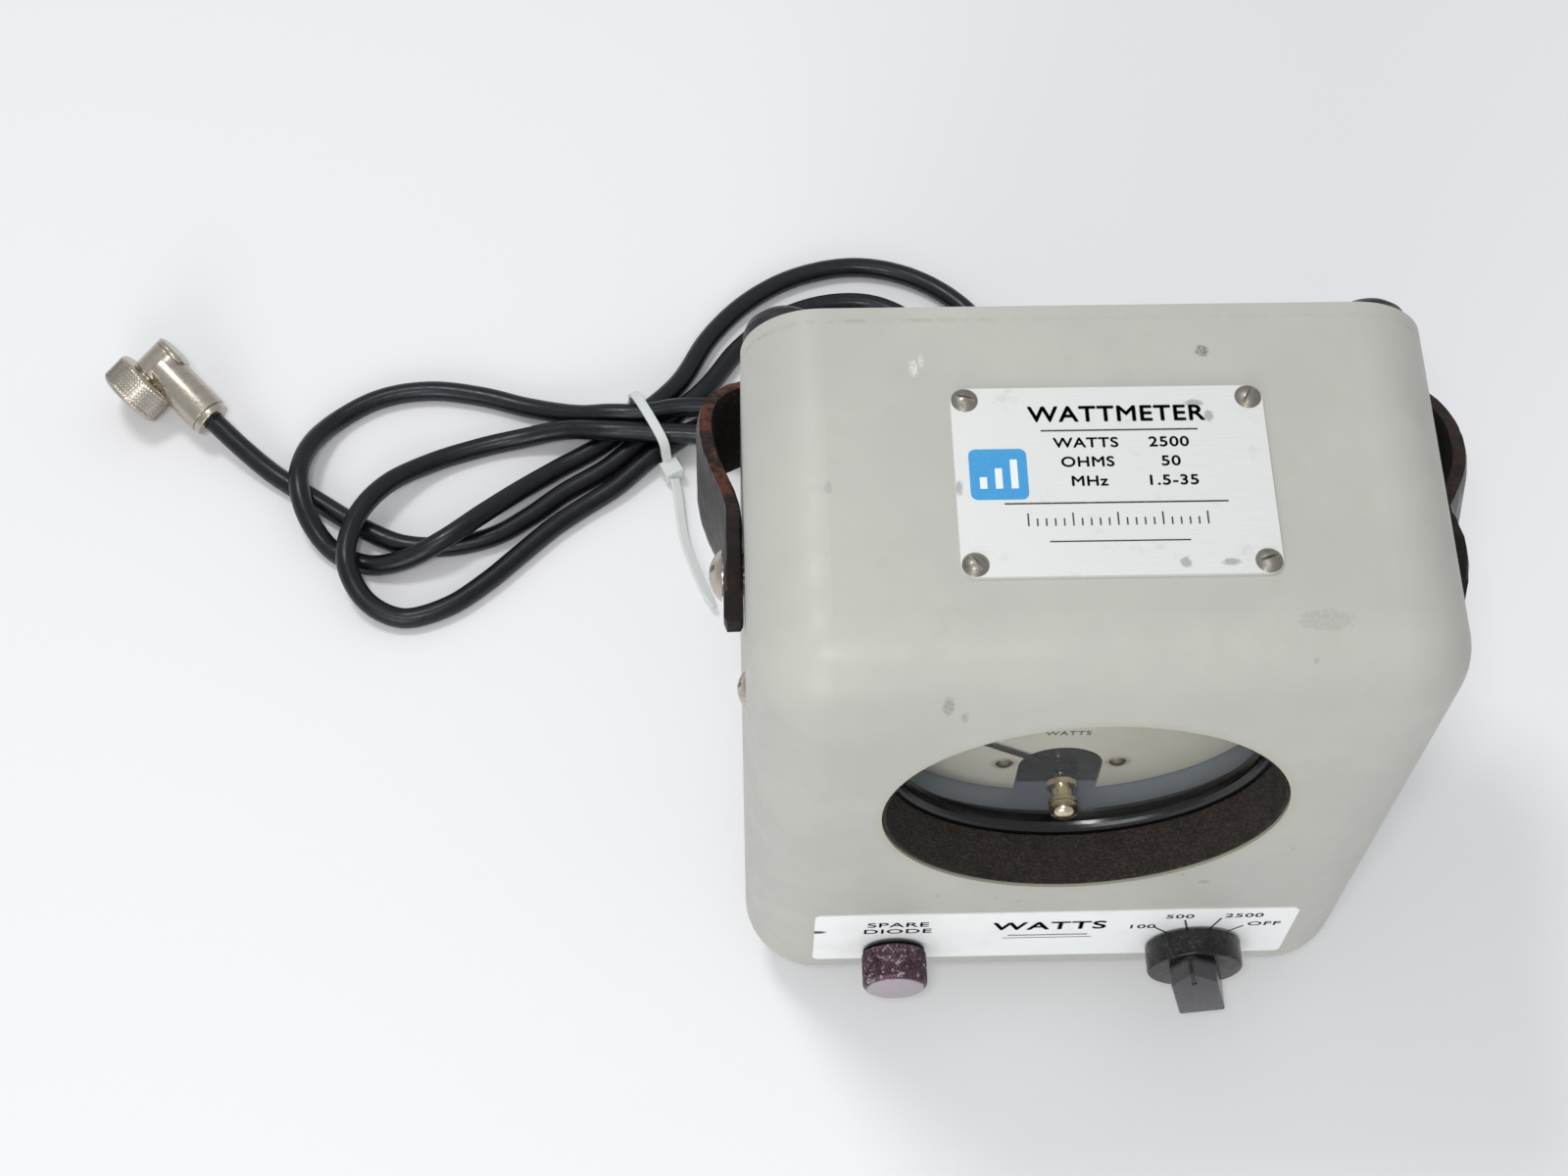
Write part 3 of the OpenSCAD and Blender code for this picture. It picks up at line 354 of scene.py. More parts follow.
def leather_edge():
    look = Look("leather_edge", rgb(32, 26, 24), 0.6, Specular_IOR_Level=0.25)
    fray = look.noise(1.0, 8, 0.8, None, 1.0)
    look.tint(look.step(fray, 0.45, 0.7), rgb(20, 17, 16))
    patches = look.cloud((5, 5, 0.75), 0.44, 0.56)
    leftward = look.step(look.axis("X"), -66, 40, 1.0, 0.2)
    rearward = look.step(look.axis("Y"), (FRONT / MM) + 46, (FRONT / MM) + 56, 0.05, 1.0)
    worn = look.math("MULTIPLY", look.math("MULTIPLY", patches, leftward), rearward)
    orange = look.math("MULTIPLY", worn, 0.8)
    look.tint(orange, rgb(112, 60, 36))
    bright = look.math("MULTIPLY", look.cloud((1.4, 6, 0.8), 0.55, 0.7), orange)
    look.tint(bright, rgb(160, 90, 50))
    look.bump(fray, 0.7, 0.9)
    return look.done()


def felt():
    look = Look("ring_felt", rgb(66, 60, 58), 0.95, Specular_IOR_Level=0.15)
    weave = look.noise(0.45, 6, 0.8)
    threads = look.cells(0.7, look.stretched(1, 1.7, 1))
    look.tint(look.step(weave, 0.4, 0.7), rgb(94, 86, 83))
    look.tint(look.step(threads, 0.35, 0.6, 0.0, 0.5), rgb(36, 32, 31))
    look.veil(look.cloud((5, 5), 0.45, 0.7), 0.5, rgb(48, 43, 42))
    # Painted shade: the felt darkens towards the top of the bore to stand in for the shadow the case's rim
    # casts on it.
    painted_upper_shade = look.step(look.axis("Z"), (UNDER / MM) + METER_AXIS[1] - 8, (UNDER / MM) + METER_AXIS[1] + 22)
    look.veil(painted_upper_shade, 0.65, rgb(34, 27, 26))
    look.bump(weave, 0.5, 0.8)
    look.bump(threads, 0.3, 0.6)
    return look.done()


def brushed_plate():
    look = Look("plate_metal", rgb(232, 234, 232), 0.38, 0.35)
    brush = look.noise(0.28, 4, 0.7, look.stretched(0.03, 1, 1))
    look.veil(look.step(brush, 0.35, 0.7), 0.5, rgb(208, 210, 209))
    look.veil(look.cloud((8, 6, 0.75), 0.56, 0.74), 0.4, rgb(190, 191, 190))
    for x, y, radius, stretch in (
        (17.0, 57.2, 1.0, (0.6, 1.3, 1)), (19.6, 54.4, 0.8, (1, 0.7, 1)), (12.5, 24.3, 1.0, (1, 1, 1)),
        (20.5, 24.2, 0.8, (0.5, 1.2, 1)), (-26.6, 40, 0.6, (1, 0.4, 1)),
    ):
        mask = look.spot(at(x, y, PLATE_TOP), radius, 0.3, 0.8, 0.8, stretch)
        look.veil(mask, 0.6, rgb(132, 132, 138))
    look.roughness = look.step(brush, 0.3, 0.75, 0.28, 0.46)
    look.bump(brush, 0.03, 0.5)
    return look.done()


def printed(name, color, wear_color, wear):
    look = Look(name, color, 0.45)
    look.veil(look.cloud((0.8, 5, 0.8), 0.5, 0.7), wear, wear_color)
    look.bump(look.noise(0.5), 0.01, 0.3)
    return look.done()


def strip_white():
    look = Look("strip_white", rgb(244, 246, 245), 0.4, Specular_IOR_Level=0.4)
    look.veil(look.cloud((10, 5), 0.45, 0.75), 0.5, rgb(230, 232, 228))
    look.veil(look.cloud((1.2, 4, 0.8), 0.7, 0.78), 0.5, rgb(150, 146, 134))
    mark = look.spot(at(-50, -0.3, 33.5), 0.8, 0.3, 0.5, 0.9, (0.5, 1, 1))
    look.tint(mark, rgb(60, 48, 42))
    look.bump(look.noise(0.7), 0.02, 0.3)
    return look.done()


def cap_anodised():
    look = Look("cap_anodised", rgb(92, 66, 82), 0.4, 0.75)
    look.tint(look.cloud((2.2, 6, 0.8), 0.46, 0.62), rgb(58, 34, 48))
    worn = look.cloud((1.5, 6, 0.85), 0.54, 0.62)
    look.veil(worn, 0.9, rgb(206, 200, 200))
    face = look.step(look.math("MULTIPLY", look.facing("Y"), -1.0), 0.75, 0.95)
    look.veil(face, 0.82, rgb(196, 186, 192))
    look.bump(look.noise(0.4), 0.03, 0.4)
    return look.done()


def dial_print():
    look = Look("dial_face", rgb(196, 193, 178), 0.5)
    look.veil(look.cloud((12, 5), 0.45, 0.75), 0.5, rgb(182, 178, 160))
    look.veil(look.cloud((0.7, 4, 0.8), 0.72, 0.78), 0.4, rgb(130, 124, 106))
    for side in (-1, 1):
        screw = at(METER_PIVOT[0] + side * DIAL_SCREW_REACH, 22, METER_PIVOT[1] + 0.8)
        halo = look.spot(screw, 2.6, 0.8, 0.3, 1.2)
        look.veil(halo, 0.5, rgb(116, 92, 60))
    look.bump(look.noise(0.5), 0.02, 0.3)
    return look.done()


def clear_glass():
    look = Look("window_glass", (0.96, 0.98, 0.98, 1), 0.03, Alpha=0.03, Coat_Weight=0.05)
    dust = look.add("ShaderNodeTexNoise", {"Scale": 900}).outputs["Fac"]
    look.roughness = look.add("ShaderNodeMapRange", {
        "Value": dust, "From Min": 0.5, "From Max": 0.85, "To Min": 0.03, "To Max": 0.16}).outputs["Result"]
    return look.done()


PAINTED = painted("case_paint")
PAINTED_COVER = painted("cover_paint", False)
STEEL = metal("screw_steel", rgb(190, 188, 182), 0.3)
ADJUSTER = metal("adjuster_plating", rgb(208, 198, 172), 0.22, 0.45, (140, 112, 66))
NICKEL = metal("worn_nickel", rgb(190, 182, 170), 0.27, 0.35, (122, 108, 90))
BRASS = metal("aged_brass", rgb(196, 168, 104), 0.3, 0.35, (120, 92, 50))
ZINC = metal("zinc_sheet", rgb(160, 162, 162), 0.4)
IRON = metal("soft_iron", rgb(78, 80, 84), 0.42)
COPPER = metal("coil_copper", rgb(176, 92, 58), 0.35)
BLACK = plastic("black_moulding", rgb(13, 13, 15), 0.2, 0.05)
DULL_STEEL = metal("dull_steel", rgb(150, 146, 138), 0.45, 0.5, (78, 72, 64))
DARK_SCREW = metal("darkened_screw", rgb(112, 102, 86), 0.35, 0.5, (60, 52, 42))
CAN_GREY = plastic("can_grey", rgb(120, 128, 138), 0.4, 0.4, (150, 156, 164))
KNOB_BLACK = knob_plastic()
POINTER_BLACK = plastic("pointer_black", rgb(16, 16, 17), 0.4)
BOARD = plastic("board_green", rgb(70, 96, 62), 0.35, 0.4, (98, 122, 78))
WAFER = plastic("wafer_brown", rgb(132, 88, 52), 0.5, 0.5, (160, 116, 74))
TRIM_BLUE = plastic("trimmer_blue", rgb(44, 88, 156), 0.35, 0.3, (90, 130, 190))
RESISTOR = plastic("resistor_tan", rgb(196, 166, 118), 0.45, 0.4, (170, 128, 84))
CERAMIC = plastic("ceramic_white", rgb(214, 208, 194), 0.3, 0.3, (190, 182, 164))
RUST_DISC = plastic("disc_brown", rgb(160, 84, 46), 0.4, 0.3, (188, 110, 66))
RED_WIRE = plastic("wire_red", rgb(142, 44, 40), 0.4, 0.3, (176, 70, 60))
NYLON = plastic("tie_nylon", rgb(214, 219, 217), 0.32, 0.3, (192, 197, 195))
INSULATOR = plastic("plug_ptfe", rgb(232, 228, 216), 0.4, 0.3, (212, 206, 190))
RUBBER = rubber("foot_rubber")
GLAND = rubber("gland_rubber", (24, 24, 26))
JACKET = jacket()
LEATHER = [leather_face(), leather_raw(), leather_edge()]
FELT = felt()
PLATE = brushed_plate()
STRIP = strip_white()
CAP = cap_anodised()
DIAL = dial_print()
GLASS = clear_glass()
PLATE_INK = printed("plate_ink", rgb(44, 44, 46), rgb(150, 150, 150), 0.35)
STRIP_INK = printed("strip_ink", rgb(112, 114, 120), rgb(168, 170, 172), 0.5)
TICK_INK = printed("tick_ink", rgb(56, 58, 78), rgb(120, 122, 132), 0.3)
DIAL_INK = printed("dial_ink", rgb(40, 38, 36), rgb(110, 106, 96), 0.3)
TILE_BLUE = printed("tile_blue", rgb(56, 148, 206), rgb(110, 178, 214), 0.3)
TILE_WHITE = printed("tile_white", rgb(226, 232, 234), rgb(190, 204, 212), 0.3)
INDEX_INK = printed("index_ink", rgb(10, 10, 11), rgb(40, 40, 40), 0.3)

CAD_LOOKS = (
    (PAINTED, "housing"), (PAINTED_COVER, "back_cover"), (DULL_STEEL, "nameplate_screws"),
    (STRIP, "front_strip"), (PLATE, "nameplate"), (GLASS, "meter_glass"), (GLAND, "lead_gland"),
    (STEEL, "cover_screws strap_bushes frame_screws knob_set_screw switch_shaft switch_nut well_nut"),
    (NICKEL, "strap_screws side_screws plug_clamp plug_cap plug_body coupling_nut"),
    (RUBBER, "back_feet base_feet cap_washer"), (DARK_SCREW, "dial_screws"),
    (BLACK, "meter_bezel front_bridge rear_bridge"), (CAN_GREY, "meter_case"), (DIAL, "dial_plate"),
    (ZINC, "meter_frame switch_body diode_well"), (IRON, "magnet_yoke magnet_core"), (COPPER, "coil_frame"),
    (BRASS, "hairsprings zero_adjuster meter_studs stud_nuts switch_rotor plug_pin"),
    (POINTER_BLACK, "pointer"), (BOARD, "circuit_board"), (TRIM_BLUE, "trimmers"), (RESISTOR, "resistors"), (RUST_DISC, "capacitor"),
    (RED_WIRE, "inner_leads"), (WAFER, "switch_wafer"), (CERAMIC, "spare_diode"), (INSULATOR, "plug_insulator"),
    (CAP, "diode_cap"), (KNOB_BLACK, "range_knob"), (LEATHER[0], "strap"), (NYLON, "zip_tie"),
    (JACKET, "meter_lead"), (FELT, "shock_ring"),
)
for node_material, node_names in CAD_LOOKS:
    for node_name in node_names.split():
        node_mesh = NODES[node_name].data
        node_mesh.materials.clear()
        node_mesh.materials.append(node_material)

# ---- mesh helpers -----------------------------------------------------------------------


def piece(name, mesh, body, materials, replaced=(), smooth=40):
    if isinstance(mesh, bmesh.types.BMesh):
        data = bpy.data.meshes.new(name)
        bmesh.ops.recalc_face_normals(mesh, faces=mesh.faces)
        mesh.to_mesh(data)
        mesh.free()
        mesh = data
    made = bpy.data.objects.new(name, mesh)
    SCENE.collection.objects.link(made)
    for material in materials if isinstance(materials, list) else [materials]:
        mesh.materials.append(material)
    if smooth:
        mesh.shade_smooth()
        mesh.set_sharp_from_angle(angle=math.radians(smooth))
    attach(made, body)
    if replaced:
        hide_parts(*replaced)
    return made


def lathe(target, profile, place, steps, shape=None):
    """Turns [radius, depth] points about the local Y axis. shape(radius, depth, angle) may change a radius."""
    rings = []
    for radius, depth in profile:
        if radius == 0:
            rings.append([target.verts.new(place @ Vector((0, depth * MM, 0)))])
            continue
        ring = []
        for k in range(steps):
            angle = 2 * math.pi * k / steps
            r = (shape(radius, depth, angle) if shape else radius) * MM
            point = Vector((r * math.cos(angle), depth * MM, r * math.sin(angle)))
            ring.append(target.verts.new(place @ point))
        rings.append(ring)
    for a, b in zip(rings, rings[1:]):
        for k in range(steps):
            n = (k + 1) % steps
            corners = [a[k % len(a)], a[n % len(a)], b[n % len(b)], b[k % len(b)]]
            unique = list(dict.fromkeys(corners))
            if len(unique) > 2:
                target.faces.new(unique)


def turned(name, profile, place, steps, body, material, node, smooth=40, shape=None):
    """A piece turned about the local Y axis that replaces a node."""
    mesh = bmesh.new()
    lathe(mesh, profile, place, steps, shape)
    if profile[0] == profile[-1]:
        bmesh.ops.remove_doubles(mesh, verts=mesh.verts, dist=1e-6)
    return piece(name, mesh, body, material, [node], smooth)


def beam(target, centre, wide, thick):
    """The four corners of a rectangle round the centre, one ring of a swept band."""
    return [target.verts.new(centre + a * wide + b * thick) for a, b in ((1, 1), (-1, 1), (-1, -1), (1, -1))]


def skin(target, rings, closed=False):
    for a, b in list(zip(rings, rings[1:])) + ([(rings[-1], rings[0])] if closed else []):
        for k in range(4):
            target.faces.new((a[k], a[(k + 1) % 4], b[(k + 1) % 4], b[k]))
    if not closed:
        target.faces.new(rings[0])
        target.faces.new(rings[-1])


def round_profile(points, radii, segments=5):
    """The profile with its corners rounded. radii maps a point's index to its radius."""
    made = []
    for i, point in enumerate(points):
        if i not in radii:
            made.append(tuple(point))
            continue
        here, before, after = Vector(point), Vector(points[i - 1]), Vector(points[(i + 1) % len(points)])
        a, b = (before - here).normalized(), (after - here).normalized()
        half = a.angle(b) / 2
        reach = radii[i] / math.tan(half)
        start, end = here + a * reach, here + b * reach
        for k in range(segments + 1):
            t = k / segments
            made.append(tuple((1 - t) ** 2 * start + 2 * t * (1 - t) * here + t * t * end))
    return made


def smooth_line(points, steps):
    """A Catmull-Rom curve through the points."""
    p = [Vector(q) for q in points]
    p = [2 * p[0] - p[1]] + p + [2 * p[-1] - p[-2]]
    made = []
    for i in range(1, len(p) - 2):
        for k in range(steps):
            t = k / steps
            a, b, c, d = p[i - 1:i + 3]
            made.append(0.5 * (2 * b + (c - a) * t + (2 * a - 5 * b + 4 * c - d) * t * t
                               + (3 * b - a - 3 * c + d) * t ** 3))
    made.append(p[-2])
    return made


# ---- lead -------------------------------------------------------------------------------

LOW = 2.5
LEAD_D = 5.0
PLUG_AT = (-207.5, 120.0, 11.908)
PLUG_TURN = math.radians(-45)
PLUG_DIP = math.radians(13)
PLUG_ROLL = math.radians(22)
BARREL = 19.3
PLUG = (Matrix.Translation(laid(*PLUG_AT)) @ Matrix.Rotation(PLUG_TURN, 4, "Z")
        @ Matrix.Rotation(PLUG_DIP, 4, "Y") @ Matrix.Rotation(PLUG_ROLL, 4, "X"))
BARREL_PLACE = PLUG @ Matrix.Rotation(math.radians(-90), 4, "Z")
TO_TIE = [
    (-30, 62, 15.5), (-31, 71, 11), (-34.5, 82, 5.2), (-40, 92, LOW), (-48, 101.5, LOW),
    (-58.5, 107.5, LOW), (-71, 107, 3),
]
LOOP_B = [
    (-84, 98.6, 3.8), (-94.5, 89.2, 3), (-102, 84, LOW), (-110, 78, LOW), (-118, 70.5, LOW),
    (-126, 63, LOW), (-135, 56.5, LOW), (-145.5, 53.5, LOW), (-154.5, 57.5, 4.4), (-159.2, 66.5, 8),
    (-157.5, 78, 8.2), (-151, 88, 6.8), (-141, 96, 3.4), (-129, 100.8, LOW), (-118.5, 103, 3.2),
    (-107.5, 103.6, 6), (-96.5, 101.6, 8.8),
]
LOOP_OUTER = [
    (-85.1, 100.8, 8.9), (-73, 100, 8.6), (-60, 96.2, 8.2), (-46, 93, 8.1), (-31, 92.5, 7.7),
    (-16, 97, 4.6), (-4.5, 106, LOW), (1.5, 118.5, LOW), (0, 131.5, LOW), (-8, 143, LOW),
    (-20, 151, LOW), (-34, 154, LOW), (-49, 151, LOW), (-61.5, 143.5, LOW), (-71.5, 132.5, LOW),
    (-79, 119, 3.2),
]
LOOP_A = [
    (-89, 108.6, 3.8), (-99.5, 100.3, 3), (-109.5, 94.2, 2.7), (-118.5, 87, 4.8), (-127, 79.2, 7.4),
    (-136, 72, 7.9), (-145.5, 68.2, 5), (-155, 68.2, LOW), (-163.5, 72.2, 2.8), (-169.5, 79.8, 6.4),
    (-172, 89.5, 8.2), (-170.5, 99.5, 6), (-165, 108.5, 3), (-154.5, 115.5, LOW), (-142, 117.8, LOW),
    (-129, 116, LOW), (-117, 112.3, 2.8), (-105, 108.4, 5.5), (-96.5, 106.9, 8.2),
]
LOOP_INNER = [
    (-88, 106.4, 8.9), (-78, 108, 8.8), (-66, 107.6, 8.3), (-53, 104.8, 8.1), (-39, 102.8, 6.6),
    (-26, 105, 3.4), (-16, 112.5, LOW), (-13, 124, LOW), (-18, 135, LOW), (-28.5, 142, LOW),
    (-41, 142.6, LOW), (-53.5, 138, LOW), (-64, 129, LOW), (-73, 116.5, 3),
]
TO_PLUG = [
    (-86.5, 103.6, 3.8), (-97, 94.3, 3), (-107, 88, LOW), (-116, 81, LOW), (-125, 75.5, LOW),
    (-136, 73, LOW), (-147, 73.8, LOW), (-157.5, 79, LOW), (-168.5, 86.5, LOW), (-178.5, 93.3, 3.1),
    (-186.5, 99.7, 5.2),
]


def lead_points():
    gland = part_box("lead_gland")
    start = Vector(((gland[0].x + gland[1].x) / 2, gland[1].y, (gland[0].z + gland[1].z) / 2))
    end = PLUG @ Vector((BARREL * MM, 0, 0))
    middle = [laid(*p) for p in TO_TIE + LOOP_B + LOOP_OUTER + LOOP_A + LOOP_INNER + TO_PLUG]
    return [start] + middle + [end]


def make_lead():
    line = smooth_line(lead_points(), 7)
    for point in line:
        point.z = max(point.z, LOW * MM)
    curve = bpy.data.curves.new("lead", "CURVE")
    curve.dimensions = "3D"
    spline = curve.splines.new("POLY")
    spline.points.add(len(line) - 1)
    for target, point in zip(spline.points, line):
        target.co = (*point, 1)
    curve.bevel_depth = LEAD_D / 2 * MM
    curve.bevel_resolution = 5
    curve.use_fill_caps = True
    curve.materials.append(JACKET)
    lead = bpy.data.objects.new("lead", curve)
    SCENE.collection.objects.link(lead)
    spline.use_smooth = True
    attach(lead, "case")
    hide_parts("meter_lead")
    length = sum((b - a).length for a, b in zip(line, line[1:]))
    return lead, line, length


LEAD, LEAD_LINE, LEAD_LENGTH = make_lead()


def knurl(count, twist, depth, low, high):
    """A diamond knurl between two depths along the axis, fading out at both ends."""
    def shape(radius, along, angle):
        if not low <= along <= high:
            return radius
        fade = min(1.0, (along - low) / 0.3, (high - along) / 0.3)
        a = abs(math.sin(count / 2 * angle + twist * along))
        b = abs(math.sin(count / 2 * angle - twist * along))
        return radius - depth * fade * (1 - min(a, b) * 1.2)
    return shape


def make_coupling_nut():
    r, front, back, bore, groove = 8.25, -11.4, -3.8, 3.95, 6.9
    rim = [(r, front + 0.8 + (back - front - 1.6) * k / 20) for k in range(21)]
    profile = ([(bore, back), (6.4, back), (r - 0.75, back - 0.05), (r - 0.3, back - 0.35)] + rim[::-1]
               + [(r - 0.3, front + 0.35), (r - 0.75, front), (7.1, front), (groove, front + 0.2)]
               + [(groove - 0.25 * (k % 2), front + 0.6 + 0.45 * k) for k in range(10)]
               + [(groove, back - 2.05), (6.6, back - 2), (bore, back - 2), (bore, back)])
    grip = knurl(56, 3.5, 0.28, front + 0.8, back - 0.8)
    return turned("plug_nut_knurled", profile, PLUG, 240, "plug_nut", NICKEL, "coupling_nut", 60,
                  lambda radius, along, angle: grip(radius, along, angle) if radius > 8 else radius)


def make_plug_body():
    mesh = bmesh.new()
    elbow = [(0, -7.2), (5.2, -7.2), (5.2, -6.2), (3.9, -6.2), (3.9, -3.4), (4.85, -3.4), (4.85, 4.2), (0, 4.2)]
    lathe(mesh, round_profile(elbow, {1: 0.2, 5: 0.5, 6: 0.3}), PLUG, 64)
    end = BARREL - 1.7
    barrel = [(0, 0), (5.1, 0), (5.1, end - 0.2), (4.6, end - 0.15), (4.6, end), (0, end)]
    lathe(mesh, round_profile(barrel, {1: 0.9, 2: 0.25}), BARREL_PLACE, 64)
    return piece("plug_elbow", mesh, "case", NICKEL, ["plug_body"])


def make_plug_cap():
    disc = [(0, 4.25), (4.85, 4.25), (4.85, 5.1), (4.2, 5.6), (0, 5.6)]
    return turned("plug_end_disc", round_profile(disc, {1: 0.15, 2: 0.3, 3: 0.4}), PLUG, 64, "case", NICKEL,
                  "plug_cap")


def make_plug_clamp():
    start = BARREL - 1.7
    ring = [(2.55, start), (4.75, start), (4.75, BARREL), (2.6, BARREL), (2.55, BARREL - 0.3), (2.55, start)]
    return turned("plug_clamp_ring", round_profile(ring, {1: 0.2, 2: 0.35, 3: 0.2}), BARREL_PLACE, 64, "case",
                  NICKEL, "plug_clamp")


PLUG_PIECES = [make_coupling_nut(), make_plug_body(), make_plug_cap(), make_plug_clamp()]

TIE_PLACE = Matrix.Translation(laid(-86.5, 103.6, 0)) @ Matrix.Rotation(math.radians(27), 4, "Z")
TIE_MIDDLE_Z = 6
BAND = [(-8.6, 1.2), (8.6, 1.2), (9.3, 3.4), (8.5, 6.6), (6.4, 11.4), (-6.4, 11.4), (-8.5, 6.6), (-9.3, 3.4)]
TAIL = [
    (-80.4, 90.6, 3.4), (-79.6, 86, 3.1), (-79, 80, 2.4), (-78, 74, 1.9), (-76, 67.5, 1.7), (-73.6, 61, 2.0),
    (-71, 55, 2.6),
]
TAPERED = 8


def make_tie():
    mesh = bmesh.new()
    across = (TIE_PLACE.to_3x3() @ Vector((1, 0, 0))).normalized()
    middle = TIE_PLACE @ Vector((0, 0, TIE_MIDDLE_Z * MM))
    line = [TIE_PLACE @ (p * MM) for p in smooth_line([(0, y, z) for y, z in BAND + BAND[:1]], 6)[:-1]]
    rings = []
    for i, point in enumerate(line):
        out = (line[(i + 1) % len(line)] - line[i - 1]).normalized().cross(across)
        centre = point - out * 0.55 * MM * (1 if out.dot(point - middle) < 0 else -1)
        rings.append(beam(mesh, centre, across * 1.2 * MM, out * 0.45 * MM))
    skin(mesh, rings, True)
    head = TIE_PLACE @ Matrix.Translation(Vector((0, -11.8, 3.4)) * MM)
    bmesh.ops.create_cube(mesh, size=1, matrix=head @ Matrix.Diagonal((4.6 * MM, 4.2 * MM, 4.0 * MM, 1)))
    path = smooth_line([laid(*p) for p in TAIL], 10)
    last = len(path) - 1
    rings = []
    for i, point in enumerate(path):
        along = (path[min(i + 1, last)] - path[max(i - 1, 0)]).normalized()
        side = (along.cross(UP).normalized() + UP * 0.35).normalized()
        taper = 1.0 - 0.5 * max(0, i - len(path) + TAPERED) / TAPERED
        tooth = 0.06 * MM * (i % 2)
        out = along.cross(side).normalized()
        rings.append(beam(mesh, point, side * 1.15 * MM * taper, out * (0.42 * MM + tooth)))
    skin(mesh, rings)
    tie = piece("cable_tie", mesh, "case", NYLON, ["zip_tie"], 50)
    bevel = tie.modifiers.new("edges", "BEVEL")
    bevel.width = 0.18 * MM
    bevel.segments = 2
    return tie


TIE = make_tie()

# ---- strap ------------------------------------------------------------------------------

STRAP_W, STRAP_T = 19.0, 3.6
STRAP_TILT = math.radians(27)
STRAP_END = -9.5
STRAP_END_R = 6.5
STRAP_SPAN_X, STRAP_SPAN_S = 54, 55.1
STRAP_LEFT = [
    (67.1, STRAP_END), (67.1, 0), (67.1, 9), (68.4, 17), (70.4, 25), (71.7, 33), (72, 41), (70.8, 48),
    (67.2, 53), (61.5, 55), (STRAP_SPAN_X, STRAP_SPAN_S),
]
STRAP_RIGHT = [
    (67.1, STRAP_END), (67.1, 0), (67.1, 5.8), (70.1, 12), (73.1, 19), (75.1, 27), (75.6, 35), (74.4, 43),
    (70.9, 50.2), (63, 54.9), (STRAP_SPAN_X, STRAP_SPAN_S),
]
STRAP_ALONG = Vector((0, math.cos(STRAP_TILT), -math.sin(STRAP_TILT)))
STRAP_WIDE = Vector((0, math.sin(STRAP_TILT), math.cos(STRAP_TILT)))
STRAP_PIVOT = at(0, 38, 122)
STRAP_CELLS = 16


def strap_point(x, s, w):
    return STRAP_PIVOT + Vector((x, 0, 0)) * MM + STRAP_ALONG * s * MM + STRAP_WIDE * w * MM


def strap_half_width(s):
    """Half the strap's width at s along it, drawn in round its two ends."""
    into = s - STRAP_END
    if into >= STRAP_END_R:
        return STRAP_W / 2
    return STRAP_W / 2 - STRAP_END_R + math.sqrt(max(STRAP_END_R ** 2 - (STRAP_END_R - into) ** 2, 0.2))


def strap_row(mesh, x, s, nx, ns):
    """The vertices across both faces at one place along the strap, with a rounded, frayed edge."""
    half = strap_half_width(s)
    row = {}
    for side in (1, -1):
        for k in range(STRAP_CELLS + 1):
            w = half * (2 * k / STRAP_CELLS - 1)
            edge = abs(w) / half
            seed = Vector((x * 0.35, s * 0.35, w * 0.35 + side * 9))
            fray = noise.noise(seed * 2.4) * 0.275 if edge > 0.93 else 0.0
            crown = 1 - max(0.0, edge - 0.8) * 1.75 if side == 1 else 1 - max(0.0, edge - 0.85) * 2
            off = side * STRAP_T / 2 * crown + 0.12 * noise.noise(seed * 0.8)
            out = fray if w > 0 else -fray
            row[side, k] = mesh.verts.new(strap_point(x + nx * off, s + ns * off, w + out))
    return row


def make_strap():
    half, other = ([(p.x, p.y) for p in smooth_line([(x, s, 0) for x, s in side], 6)]
                   for side in (STRAP_RIGHT, STRAP_LEFT))
    span = [(STRAP_SPAN_X * (1 - k / 30), STRAP_SPAN_S) for k in range(1, 60)]
    line = half + span + [(-x, s) for x, s in reversed(other)]
    mesh = bmesh.new()
    rows = []
    for i, (x, s) in enumerate(line):
        a, b = line[max(i - 1, 0)], line[min(i + 1, len(line) - 1)]
        size = math.hypot(b[0] - a[0], b[1] - a[1])
        rows.append(strap_row(mesh, x, s, (b[1] - a[1]) / size, (a[0] - b[0]) / size))
    for a, b in zip(rows, rows[1:]):
        for side in (1, -1):
            for k in range(STRAP_CELLS):
                face = mesh.faces.new((a[side, k], a[side, k + 1], b[side, k + 1], b[side, k]))
                face.material_index = 0 if side == 1 else 1
        for k in (0, STRAP_CELLS):
            mesh.faces.new((a[1, k], a[-1, k], b[-1, k], b[1, k])).material_index = 2
    for row in (rows[0], rows[-1]):
        for k in range(STRAP_CELLS):
            mesh.faces.new((row[1, k], row[1, k + 1], row[-1, k + 1], row[-1, k])).material_index = 2
    return piece("leather_strap", mesh, "handle", LEATHER, ["strap"], 50)


make_strap()

# ---- controls ---------------------------------------------------------------------------


def axis_place(x, z, turn=0.0):
    return Matrix.Translation(at(x, 0, z)) @ Matrix.Rotation(-turn, 4, "Y")


